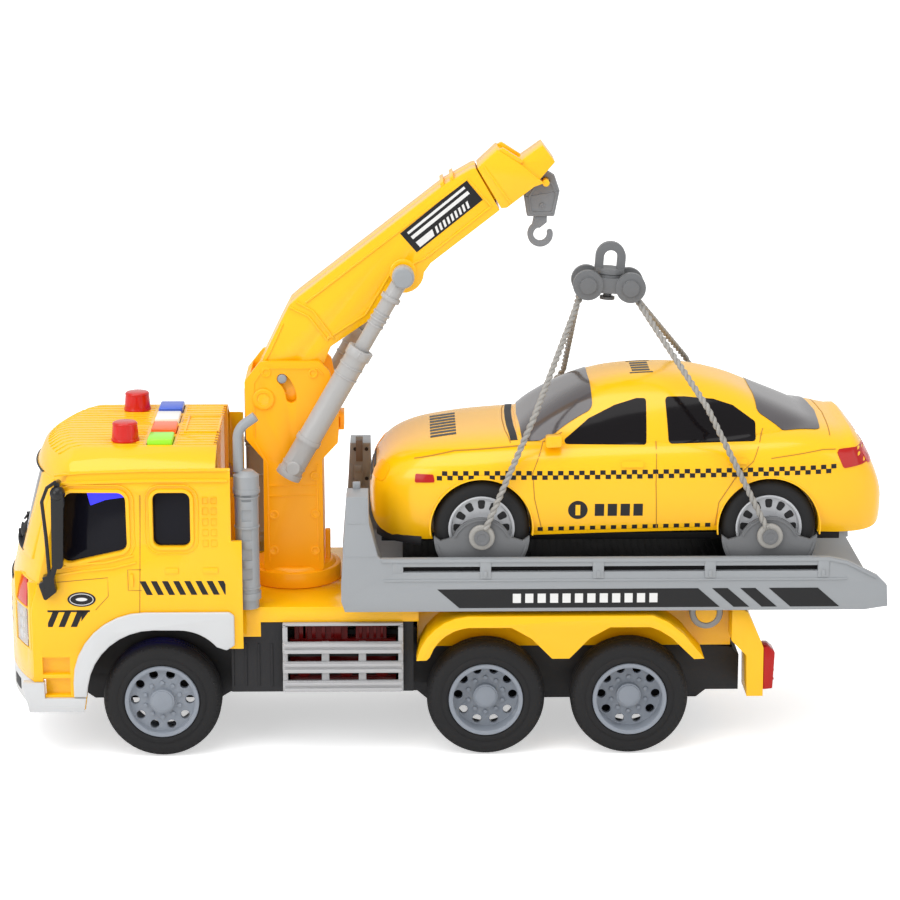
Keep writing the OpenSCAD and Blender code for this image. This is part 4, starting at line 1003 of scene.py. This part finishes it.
barrel_rings, rod_rings = bmesh.new(), bmesh.new()
cylinder_y = 21          # distance of each cylinder from the middle
for y in (-cylinder_y, cylinder_y):
    for distance in (0.5, 45, 50):
        add_ring_on_cylinder(barrel_rings, y, distance, 5.35, 5.35, 0.8)
    add_ring_on_cylinder(barrel_rings, y, 56.4, 5.9, 5.9, 3.0, 6)
    add_lathed(barrel_rings, [(0, -0.6), (2.6, -0.6), (3.2, -0.2), (3.2, 0.4), (0, 0.4)],
               (foot.x, math.copysign(cylinder_y + 5, y), foot.z), math.copysign(1, y), 28)
    for distance in (70.5, 73.2, 75.9):
        add_ring_on_cylinder(rod_rings, y, distance, 3.75, 3.75, 0.9)
    add_lathed(rod_rings, [(2.9, -0.3), (4.2, -0.3), (4.7, 0.2), (4.7, 0.6), (2.9, 0.6)],
               (-17.3, math.copysign(cylinder_y + 3, y), 201.8), math.copysign(1, y), 36)
new_piece("barrel_rings", barrel_rings, pale_grey_plastic, "barrels", 0.25)
new_piece("rod_rings", rod_rings, pale_grey_plastic, "rods", 0.2)


# ------------------------------------------------------------------ carrier bed
# The grey bed is one moulding that hinges at the tail. It has a rail with clips along
# each side, two headboard posts, a black mat, and a long sticker with slanted ends.
moulded("bed_frame", "bed", grey_plastic, 0.5)
mat_black = plastic("black deck mat", (0.01, 0.009, 0.01), 0.6, 0.2, 2200, 0.4, specular=0.12)
moulded("deck_mat", "bed", mat_black, 0.25)
bed_side = 54.0          # outer face of the bed
post_face = 39.0         # inner face of each headboard post

tread = bmesh.new()
add_prism(tread, bar_outline(-16.5, -15.5, 75.9, 76.3), -47, 47)
repeated("deck_treads", tread, mat_black, "bed", 55, step=(3.0, 0, 0))
clips = bmesh.new()
add_prism(clips, bar_outline(-22.4, -17.8, 82.2, 88.3), bed_side - 0.4, bed_side + 0.1, both=True)
for x in (14.3, 61.4, 108.2, 155.6):
    add_prism(clips, bar_outline(x, x + 4.6, 79.8, 88.4), bed_side - 0.6, bed_side + 0.4, both=True)
    add_prism(clips, bar_outline(x + 1.6, x + 3.0, 80.4, 83.2), bed_side + 0.2, bed_side + 0.8, both=True)
add_prism(clips, [(-27, 86.9), (160.2, 86.9), (167.4, 85.5), (180.4, 78.9), (180.4, 79.8), (167.4, 86.6),
                  (160.2, 88.2), (-27, 88.2)], bed_side - 0.4, bed_side + 0.5, both=True)
add_prism(clips, bar_outline(-26, 168, 78.6, 79.5), bed_side - 0.4, bed_side + 0.4, both=True)
# mould lines across the posts, and the tab and bracket on each post's inner face
for z, x0, x1 in ((103.7, -41.6, -32.4), (89.2, -42.6, -28.6)):
    add_prism(clips, bar_outline(x0, x1, z, z + 0.5), bed_side - 0.4, bed_side + 0.15, both=True)
add_prism(clips, bar_outline(-38.8, -35.6, 115, 118.2), post_face + 0.2, post_face + 1.6, both=True)
add_prism(clips, bar_outline(-39.5, -36.2, 101.9, 104.8), post_face - 1.0, post_face + 0.3, both=True)
add_prism(clips, bar_outline(-39.7, -35.6, 95.8, 101.9), post_face - 0.5, post_face + 0.3, both=True)
new_piece("bed_clips", clips, grey_plastic, "bed", 0.2)

# A black sheet behind the rail's slots paints the shade seen through them.
slot_shade_sheet = bmesh.new()
add_prism(slot_shade_sheet, bar_outline(-18, 156, 82.2, 85.4), bed_side - 2.9, bed_side - 2.4, both=True)
new_piece("rail_slot_shade", slot_shade_sheet, mat_black, "bed")

# A brown grey strip on each post's inner face is painted shade, warmed by a painted yellow glow bounced from
# the car.
post_shade_strips = bmesh.new()
post_shade_and_bounce = plastic("painted shade strip", (0.17, 0.14, 0.12), 0.45, 0.2, 1500, 0.2)
add_prism(post_shade_strips, bar_outline(-38.7, -35.7, 106.8, 116.4), post_face - 0.5, post_face + 0.4, both=True)
new_piece("post_shade_strips", post_shade_strips, post_shade_and_bounce, "bed", 0.2)
# Black discs in each post's holes paint the shade inside them.
post_hole_shade = bmesh.new()
for x, z in ((-39, 98.8), (-34, 98.8), (-39, 112.4), (-34, 112.4)):
    add_prism(post_hole_shade, oval(x, z, 0.85, 0.85, 16), post_face - 0.2, post_face + 0.6, both=True)
new_piece("post_hole_shade_discs", post_hole_shade, satin_black, "bed")

bed_sticker = bmesh.new()
top, base = 75.2, 67.0


def sticker_part(x0, x1):
    """One slanted piece of the sticker, from x0 to x1 along its top edge."""
    return [(x0, top), (x1, top), (x1 + 9.2, base), (x0 + 9.2, base)]


for x0, x1 in ((-3.6, 105.6), (111.4, 118), (123.2, 129.6), (135.2, 155.8)):
    add_prism(bed_sticker, sticker_part(x0, x1), bed_side - 0.3, bed_side + 0.12, both=True)
new_piece("bed_sticker", bed_sticker, black_ink, "bed")
sticker_marks = bmesh.new()
for k in range(12):
    add_prism(sticker_marks, bar_outline(28 + 5.2 * k, 31.4 + 5.2 * k, 69.2, 73.2), bed_side - 0.2,
              bed_side + 0.2, both=True)
new_piece("bed_sticker_marks", sticker_marks, white_ink, "bed")

hinge_rings = bmesh.new()
for side in (-1, 1):
    add_lathed(hinge_rings, [(4.8, -0.5), (6.6, -0.5), (7.1, 0), (7.1, 0.6), (4.8, 0.6)],
               (110.7, side * 41, 60.4), side, 48)
new_piece("hinge_rings", hinge_rings, grey_plastic, "bed")


# ------------------------------------------------------------------ taxi body
# The small car's body is one glossy yellow ABS moulding: a rounded lower body lofted
# from bumper to bumper, and the cabin over it. Wheel arches are cut with a raised lip.
def smooth_curve(*points):
    """A smooth function through points in rising x."""
    def height(x):
        if x <= points[0][0]:
            return points[0][1]
        if x >= points[-1][0]:
            return points[-1][1]
        i = max(k for k in range(len(points) - 1) if points[k][0] <= x)
        (x0, z0), (x1, z1) = points[i], points[i + 1]
        before = points[i - 1] if i else (x0 - (x1 - x0), z0 - (z1 - z0))
        after = points[i + 2] if i + 2 < len(points) else (x1 + (x1 - x0), z1 + (z1 - z0))
        span = x1 - x0
        m0 = (z1 - before[1]) / (x1 - before[0]) * span
        m1 = (after[1] - z0) / (after[0] - x0) * span
        t = (x - x0) / span
        return ((2 * t ** 3 - 3 * t ** 2 + 1) * z0 + (t ** 3 - 2 * t ** 2 + t) * m0
                + (3 * t ** 2 - 2 * t ** 3) * z1 + (t ** 3 - t ** 2) * m1)
    return height


deck_height = smooth_curve((-32, 110), (-30.5, 116.5), (-27.5, 122), (-22, 127), (-13, 130.6), (0, 133),
                           (14, 134.6), (32, 135.8), (60, 137), (120, 138.4), (147, 139.6), (158, 138.8),
                           (168.5, 137), (172, 137.2), (175, 134), (180, 126), (184, 117), (187.5, 106))
half_width = smooth_curve((-32, 10), (-31, 20), (-28.5, 28), (-23, 35), (-13, 41), (0, 44), (16, 45.3),
                          (60, 45.5), (140, 45.4), (158, 44.2), (171, 41.2), (179, 36.5), (184.5, 29),
                          (187.5, 14))
sill_height = smooth_curve((-32, 102), (-30.5, 98), (-27, 94.6), (-18, 92.8), (0, 93.6), (30, 95.2),
                           (114, 97.2), (150, 96.4), (176, 95.2), (184, 97), (187.5, 103))
cabin_height = smooth_curve((30.5, 136.5), (36, 141.4), (44, 146.8), (52, 151.2), (60, 154.6), (72, 157.5),
                            (90, 158.8), (104, 158.1), (114, 156.1), (124, 153), (135, 148.1), (147, 143),
                            (160, 137.2))
cabin_width = smooth_curve((30.5, 30), (38, 35), (52, 38.2), (80, 39.2), (110, 38.8), (130, 37.2),
                           (145, 34.5), (160, 29))


def stations(x0, x1, count):
    """Places along the car, closer together near both ends."""
    return [x0 + (x1 - x0) * (0.5 - 0.5 * math.cos(math.pi * i / count)) for i in range(count + 1)]


def add_loft(shape, sections):
    """Skin over half sections of (x, y, z) points that start and end on the centre plane."""
    rings = []
    for section in sections:
        right = [shape.verts.new(p) for p in section]
        left = [shape.verts.new((x, -y, z)) for x, y, z in section[-2:0:-1]]
        rings.append(right + left)
    for a, b in zip(rings, rings[1:]):
        for k in range(len(a)):
            n = (k + 1) % len(a)
            shape.faces.new((a[k], a[n], b[n], b[k]))
    shape.faces.new(rings[0])
    shape.faces.new(reversed(rings[-1]))
    return shape


def body_section(x):
    w, low, deck = half_width(x), sill_height(x), deck_height(x)
    middle = low + (deck - low) * 0.42
    section = [(x, 0, low), (x, (w - 3) * 0.5, low)]
    for k in range(9):
        t = k / 8
        section.append((x, w - 3.2 * (w / 45) * (1 - t) ** 2, low + (middle - low) * t))
    for k in range(1, 19):
        a = math.radians(5 * k)
        section.append((x, w * math.cos(a) ** 0.44 if k < 18 else 0,
                        middle + (deck - middle) * math.sin(a) ** 0.52))
    return section


def cabin_section(x):
    w, top, belt = cabin_width(x), cabin_height(x), 131.5
    section = [(x, 0, belt), (x, w * 0.6, belt)]
    for k in range(19):
        a = math.radians(5 * k)
        z = belt + (top - belt) * math.sin(a) ** 0.62
        lean_in = 1 - 0.3 * ((z - belt) / 27) ** 1.15
        section.append((x, (w * math.cos(a) ** 0.5 if k < 18 else 0) * lean_in, z))
    return section


taxi_axles = (15.1, 135.7)
taxi_axle_height = 98.9
lower_body, cabin = bmesh.new(), bmesh.new()
add_loft(lower_body, [body_section(x) for x in stations(-32, 187.5, 110)])
add_loft(cabin, [cabin_section(x) for x in stations(30.5, 160, 80)])
taxi = new_piece("taxi_lower_body", lower_body, yellow_plastic, "load", angle=40)
taxi_top = new_piece("taxi_cabin", cabin, yellow_plastic, "load", angle=40)
arches = bmesh.new()
for x in taxi_axles:
    add_prism(arches, oval(x, taxi_axle_height, 21.2, 21.2, 64), 30, 60, both=True)
cut_from(taxi, arches)
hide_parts("taxi_body")

arch_lips = bmesh.new()
for x in taxi_axles:
    lip = arc_points(x, taxi_axle_height, 21.25, -8, 188, 40)
    outer = arc_points(x, taxi_axle_height, 21.9, 188, -8, 40)
    add_prism(arch_lips, lip + outer, 43.4, 45.7, both=True)
new_piece("taxi_arch_lips", arch_lips, yellow_plastic, "load", 0.25)


def laid_on(name, outlines, grounds, view, finish, body="load", lift=0.12, depth=0.4, cell=2.5):
    """Thin pieces that follow the surface below them. Outlines are in x and z seen from a side,
    in x and y seen from the top, and in y and z seen from the front or rear."""
    graph = bpy.context.evaluated_depsgraph_get()
    trees = [BVHTree.FromObject(g, graph) for g in grounds]
    rays = {"left": lambda u, v: ((u, -200, v), (0, 1, 0)), "right": lambda u, v: ((u, 200, v), (0, -1, 0)),
            "top": lambda u, v: ((u, v, 400), (0, 0, -1)), "front": lambda u, v: ((-400, u, v), (1, 0, 0)),
            "rear": lambda u, v: ((400, u, v), (-1, 0, 0))}
    shape = bmesh.new()
    for side in (("left", "right") if view == "sides" else (view,)):
        for outline in outlines:
            flat = bmesh.new()
            flat.faces.new([flat.verts.new((u, v, 0)) for u, v in outline])
            for axis in (0, 1):
                low, high = min(p[axis] for p in outline), max(p[axis] for p in outline)
                normal = Vector((1, 0, 0)) if axis == 0 else Vector((0, 1, 0))
                at = math.floor(low / cell) * cell + cell
                while at < high:
                    bmesh.ops.bisect_plane(flat, geom=flat.verts[:] + flat.edges[:] + flat.faces[:],
                                           plane_co=normal * at, plane_no=normal)
                    at += cell
            upper, under = {}, {}
            for v in flat.verts:
                start_at, way = rays[side](v.co.x, v.co.y)
                start_at, way = Vector(start_at) * MM, Vector(way)
                hits = [h for h in (t.ray_cast(start_at, way) for t in trees) if h[0] is not None]
                if hits:
                    spot, normal = min(hits, key=lambda h: h[3])[:2]
                else:
                    spot, normal = trees[0].find_nearest(start_at + way * 0.2)[:2]
                normal = normal if normal.dot(way) < 0 else -normal
                spot = spot / MM
                upper[v] = shape.verts.new(spot + normal * lift)
                under[v] = shape.verts.new(spot - normal * (depth - lift))
            for face in flat.faces:
                shape.faces.new([upper[v] for v in face.verts])
                shape.faces.new([under[v] for v in reversed(face.verts)])
            for line in flat.edges:
                if len(line.link_faces) == 1:
                    a, b = line.verts
                    shape.faces.new((upper[a], upper[b], under[b], under[a]))
            flat.free()
    return new_piece(name, shape, finish, body, angle=40)


# The side windows are black prints flush with the body; the windscreen and the rear window are
# a lighter grey print, with a black border of rubber round each of them.
window_black = plastic("gloss black window", (0.006, 0.005, 0.006), 0.1, 0.05, 500, 0.0, specular=0.15)
window_grey = plastic("grey window", (0.075, 0.068, 0.072), 0.16, 0.1, 500, 0.0, coat=0.3)
front_side_window = [(49.8, 135.2), (50.4, 133.5), (84.2, 133.5), (84.6, 150.9), (80.6, 150.9),
                     (71.2, 148.4), (60.2, 143.5)]
rear_side_window = [(92.6, 151.4), (93.6, 133.8), (130.2, 134.8), (130.4, 141.6), (121.2, 147.8),
                    (112.9, 150.3), (100.7, 151.4)]
laid_on("taxi_side_windows", [rounded(front_side_window, 1.0, 2), rounded(rear_side_window, 1.4, 3)],
        [taxi_top, taxi], "sides", window_black, lift=0.15)
windscreen = [(32.4, -34.5), (31.4, 0), (32.4, 34.5), (46, 35), (62, 30.5), (61.5, 0), (62, -30.5), (46, -35)]
rear_window = [(131.5, -28.5), (131, 0), (131.5, 28.5), (143, 33), (158, 30.5), (160, 0), (158, -30.5),
               (143, -33)]
laid_on("taxi_end_windows", [rounded(windscreen, 3, 4), rounded(rear_window, 3, 4)], [taxi_top, taxi], "top",
        window_grey, lift=0.35)

# Pad printed trim: checker bands along both sides, a disc and bars on the doors, bars on
# the bonnet, and a plain block with bars on the roof. There is no lettering.
band_height = smooth_curve((-15, 119.4), (-5, 121.2), (15, 121.9), (50, 122.0), (105, 122.7), (150, 123.6),
                           (168, 124.1))
sill_band = smooth_curve((34, 97.2), (114, 98.9))
check_width, check_height = 2.2, 1.85
squares = []
for level, x0, x1 in ((band_height, -3.6, 165.0), (sill_band, 36.5, 113)):
    for k in range(int((x1 - x0) / check_width)):
        x = x0 + k * check_width
        z = level(x) + (0 if k % 2 else -check_height)
        squares.append(bar_outline(x, x + check_width, z, z + check_height))
laid_on("checker_bands", squares, [taxi], "sides", black_ink, lift=0.1, depth=0.3, cell=20)
door_marks = [oval(55.4, 106.9, 4.1, 4.1, 28)]
door_marks += [bar_outline(62.5 + 5.4 * k, 66.4 + 5.4 * k, 104.2, 109.6) for k in range(4)]
laid_on("door_marks", door_marks, [taxi], "sides", black_ink, lift=0.1, depth=0.3)
laid_on("door_disc_bar", [bar_outline(54.4, 56.4, 104.6, 109.2)], [taxi], "sides", yellow_plastic,
        lift=0.2, depth=0.35)
roof_marks = [bar_outline(79, 89, -12, -10.6), bar_outline(79, 89, 10.6, 12)]
roof_marks += [bar_outline(80.2, 87.8, -8.8 + 4.6 * k, -6.0 + 4.6 * k) for k in range(4)]
laid_on("roof_marks", roof_marks, [taxi_top], "top", black_ink, lift=0.1, depth=0.3)
bonnet_marks = [bar_outline(-6, 5, -19.5 + 5.2 * k, -16.3 + 5.2 * k) for k in range(8)]
laid_on("bonnet_marks", bonnet_marks, [taxi], "top", black_ink, lift=0.1, depth=0.3)

# Seams of the doors, bonnet and boot are fine lines of painted shade; handles and mirrors stand out.
door_seam_shade = [line_outline([(40.2, 99), (37.2, 112), (36.4, 123), (41, 134), (49, 138)], 0.42),
              line_outline([(88.6, 98.5), (87.9, 118), (88.2, 134.8)], 0.42),
              line_outline([(113.2, 99.4), (114.4, 110), (121, 120.5), (128.6, 127.5), (133.5, 139)], 0.42),
              line_outline([(-13, 127), (4, 130.6), (34, 133)], 0.4),
              line_outline([(136, 128.6), (158, 131.6), (163.5, 131.4)], 0.4)]
laid_on("taxi_seam_shade", door_seam_shade, [taxi, taxi_top], "sides", seam_shade, lift=0.1,
        depth=0.3)
across = [line_outline([(27.4, -35), (25.6, -20), (25.0, 0), (25.6, 20), (27.4, 35)], 0.5),
          line_outline([(161.8, -34), (163.4, 0), (161.8, 34)], 0.5)]
laid_on("bonnet_seam_shade", across, [taxi, taxi_top], "top", seam_shade, lift=0.04, depth=0.3)
laid_on("taxi_cowl", [line_outline([(29.0, -33), (28.0, -14), (27.8, 0), (28.0, 14), (29.0, 33)], 3.0)],
        [taxi, taxi_top], "top", satin_black, lift=0.2)

handles = [rounded(bar_outline(73.4, 82.6, 125.2, 127.4), 0.7, 3),
           rounded(bar_outline(117.5, 126, 126.4, 128.5), 0.7, 3)]
laid_on("taxi_handles", handles, [taxi], "sides", yellow_plastic, lift=0.9, depth=1.4)
taxi_mirrors = bmesh.new()
add_prism(taxi_mirrors, rounded([(41.6, 133.4), (41.8, 138.2), (48.8, 138.6), (48.4, 133.8)], 1.2), 39, 44.8,
          both=True)
new_piece("taxi_mirrors", taxi_mirrors, yellow_plastic, "load", 0.6)

tail_lamp = [(163.6, 131.2), (176.0, 131.6), (178.6, 128.6), (178.6, 125), (166.8, 123.6)]
front_lamp = [(-12.4, 121.6), (-5.0, 121.8), (-4.4, 118.6), (-12.8, 118.0)]
laid_on("taxi_tail_lamps", [rounded(tail_lamp, 1.2, 3)], [taxi], "sides", deep_red_lens,
        lift=0.35, depth=0.9)
laid_on("taxi_indicator_lamps", [rounded(front_lamp, 0.6, 3)], [taxi], "sides", deep_red_lens,
        lift=0.3, depth=0.8)
laid_on("taxi_headlamps", [rounded(bar_outline(s * 25 - 7, s * 25 + 7, 116, 123), 2.5, 3) for s in (-1, 1)],
        [taxi], "front", amber_painted_glow, lift=0.3, depth=0.9)
laid_on("taxi_grille", [rounded(bar_outline(-14, 14, z, z + 1.8), 0.6, 2) for z in (112, 114.8, 117.6)],
        [taxi], "front", satin_black, lift=0.25)
laid_on("taxi_rear_lamps", [rounded(bar_outline(s * 29 - 6, s * 29 + 6, 124, 130), 1.5, 3) for s in (-1, 1)],
        [taxi], "rear", red_lens, lift=0.3, depth=0.9)
laid_on("taxi_rear_plate", [rounded(bar_outline(-11, 11, 112, 118), 0.8, 2)], [taxi], "rear", silver_plastic,
        lift=0.25)
inner_glass = moulded("taxi_glass", "load", window_black, 0.0)
for corner in inner_glass.data.vertices:
    corner.co.y *= 0.8
    corner.co.z = min(corner.co.z, 148 * MM)


# ------------------------------------------------------------------ taxi base and wheels
# A near black base closes the car from below and holds two axles. The wheels have PVC
# tyres on silver rims with twelve slots round a plain cap, drawn as black shapes of painted shade.
base_grey = plastic("near black ABS", (0.02, 0.02, 0.022), 0.45, 0.15, 1300, 0.15, specular=0.2)
moulded("taxi_base", "load", base_grey, 0.4)
chin = bmesh.new()
plan = [(x, half_width(x) * 0.985) for x in (-30, -28, -25, -21, -16, -11)]
ends = [[chin.verts.new((x + 1, y - 1, z)) for x, y in plan]
        + [chin.verts.new((x + 1, 1 - y, z)) for x, y in plan[::-1]]
        for z in (90.6, 94.2)]
chin.faces.new(ends[0])
chin.faces.new(reversed(ends[1]))
for i in range(len(ends[0])):
    j = (i + 1) % len(ends[0])
    chin.faces.new((ends[0][i], ends[0][j], ends[1][j], ends[1][i]))
new_piece("taxi_chin", chin, base_grey, "load", 0.4)

silver_rim = plastic("silver painted rim", (0.46, 0.47, 0.49), 0.28, 0.1, 1600, 0.1, coat=0.2)
quarter_turn = Matrix.Rotation(math.radians(90), 4, "X")
for end, x in (("front", taxi_axles[0]), ("rear", taxi_axles[1])):
    body = f"taxi_{end}_axle"
    tyres, rims = bmesh.new(), bmesh.new()
    for side in (-1, 1):
        face = (x, side * 45.2, taxi_axle_height)
        add_lathed(tyres, [(13.7, 0.9), (14.6, 0.2), (16, 0.1), (17.5, 0.35), (18.9, 1.2), (19.7, 2.4),
                           (20, 3.8), (20, 5.6), (19.5, 5.8), (19.5, 6.4), (20, 6.6), (20, 8.4),
                           (19.6, 10.2), (18.6, 11.8), (16.6, 12.4), (13.7, 12.4)], face, side, 96)
        add_lathed(rims, [(0, 0.8), (3.2, 0.8), (4.3, 1.4), (4.6, 2.6), (12.2, 2.6), (12.8, 0.6),
                          (13.4, 0.3), (13.9, 0.6), (13.9, 12), (12.6, 12), (12.6, 4.4), (0, 4.4)],
                   face, side, 72)
        bmesh.ops.create_cone(rims, cap_ends=True, segments=20, radius1=1.5, radius2=1.5, depth=37,
                              matrix=Matrix.Translation((x, side * 22, taxi_axle_height)) @ quarter_turn)
    tyre = new_piece(f"taxi_{end}_tyres", tyres, tyre_pvc, body, angle=50)
    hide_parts(f"taxi_{end}_wheels")
    new_piece(f"taxi_{end}_rims", rims, silver_rim, body, angle=40)
    for side, word in ((-1, "left"), (1, "right")):
        # Painted shade: black slot shapes on the rim's face stand for the dark inside the slots.
        slot_shade_shape = bmesh.new()
        add_prism(slot_shade_shape, rounded([(8.0, -1.2), (11.8, -1.7), (11.8, 1.7), (8.0, 1.2)], 0.9, 3), -0.1,
                  0.1)
        repeated(f"taxi_{end}_{word}_rim_slot_shade", slot_shade_shape, satin_black, body, 12, turn=30,
                 centre=(x, side * 42.55, taxi_axle_height))


# ------------------------------------------------------------------ lifting sling
# Grey cradles grip the car's wheels. Four stiff moulded legs, shaped as twisted rope,
# meet at a spreader with round cheeks, and a swivelling eye stands on top of it.
sling_grey = plastic("dark grey acetal", (0.14, 0.144, 0.15), 0.4, 0.08, 1400, 0.1, specular=0.35)
for node in ("sling_cradles", "sling_spreader"):
    moulded(node, "load", sling_grey, 0.45, 3)
moulded("sling_ring", "ring", sling_grey, 0.7, 3)

cradle_trim = bmesh.new()
for x in taxi_axles:
    add_boss(cradle_trim, x, 96.4, 51.0, 3.3, 0.25)
    rim_line = arc_points(x, 96.4, 19.4, 190, 350, 24)
    rim_back = arc_points(x, 96.4, 18.6, 350, 190, 24)
    dome = arc_points(x, 91.4, 12.4, 22, 158, 20)
    dome_back = arc_points(x, 91.4, 11.6, 158, 22, 20)
    add_prism(cradle_trim, rim_line + rim_back, 47.6, 48.4, both=True)
    add_prism(cradle_trim, dome + dome_back, 47.6, 48.4, both=True)
new_piece("cradle_trim", cradle_trim, sling_grey, "load", 0.15)


spreader_pins = [(70.2 + reach, 194.6 - reach * 0.07) for reach in (-9.1, 9.1)]


def leg_path(i, side):
    """The middle line of a leg, from the spreader's pin past the roof and door to a cradle."""
    pin = Vector((spreader_pins[i][0], side * 2.3, spreader_pins[i][1]))
    out = Vector((pin.x + (-3.4, 3.4)[i], side * 3.2, pin.z - 6.6))
    knee = Vector((((37, 108) if side < 0 else (54, 109.2))[i], side * 46.9,
                   ((148, 152) if side < 0 else (146, 151.5))[i]))
    end = Vector((taxi_axles[i] + (1.5, -1.5)[i], side * 49.9, 100.0))
    corners = [pin.lerp(out, 0.43), out, knee, end]
    path = []
    for a, b in zip(corners, corners[1:]):
        pieces = max(2, int((b - a).length / 0.9))
        path += [a.lerp(b, k / pieces) for k in range(pieces)]
    path.append(end)
    for _ in range(6):
        path = [path[0]] + [(path[k - 1] + path[k] * 2 + path[k + 1]) / 4
                            for k in range(1, len(path) - 1)] + [path[-1]]
    return path


def add_tube(shape, path, radius, sides=8):
    across = Vector((0, 1, 0))
    rings = []
    for k, p in enumerate(path):
        way = (path[min(k + 1, len(path) - 1)] - path[max(k - 1, 0)]).normalized()
        across = (across - way * across.dot(way)).normalized()
        up = way.cross(across)
        angles = [math.tau * s / sides for s in range(sides)]
        rings.append([shape.verts.new(p + (across * math.cos(a) + up * math.sin(a)) * radius)
                      for a in angles])
    for a, b in zip(rings, rings[1:]):
        for s in range(sides):
            n = (s + 1) % sides
            shape.faces.new((a[s], a[n], b[n], b[s]))
    shape.faces.new(reversed(rings[0]))
    shape.faces.new(rings[-1])


leg_plastic = plastic("warm grey polyethylene", (0.31, 0.3, 0.28), 0.42, 0.12, 1600, 0.15, specular=0.35)
legs = bmesh.new()
lay_length = 6.4
for i in (0, 1):
    for side in (-1, 1):
        path = leg_path(i, side)
        for strand in (0, 1):
            across, travelled, line = Vector((0, 1, 0)), 0.0, []
            for k, p in enumerate(path):
                way = (path[min(k + 1, len(path) - 1)] - path[max(k - 1, 0)]).normalized()
                across = (across - way * across.dot(way)).normalized()
                if k:
                    travelled += (p - path[k - 1]).length
                turn = math.tau * travelled / lay_length + math.pi * strand
                line.append(p + (across * math.cos(turn) + way.cross(across) * math.sin(turn)) * 0.62)
            add_tube(legs, line, 0.82)
        add_tube(legs, path, 0.55, 6)
        pin = (spreader_pins[i][0], side * 3.95, spreader_pins[i][1])
        add_lathed(legs, [(2.25, 0.2), (2.5, 0), (3.8, 0), (4.2, 0.4), (4.2, 3.4), (3.8, 3.8), (2.5, 3.8),
                          (2.25, 3.6)], pin, side, 32)
        add_lathed(legs, [(2.25, 0.2), (2.5, 0), (4.9, 0), (5.4, 0.4), (5.4, 1.7), (5.0, 2.0), (2.5, 2.0),
                          (2.25, 1.8)], (taxi_axles[i], side * 50.3, 96.4), side, 40)
twisted = new_piece("sling_legs_twisted", legs, leg_plastic, "load", angle=60)
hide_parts("sling_legs")
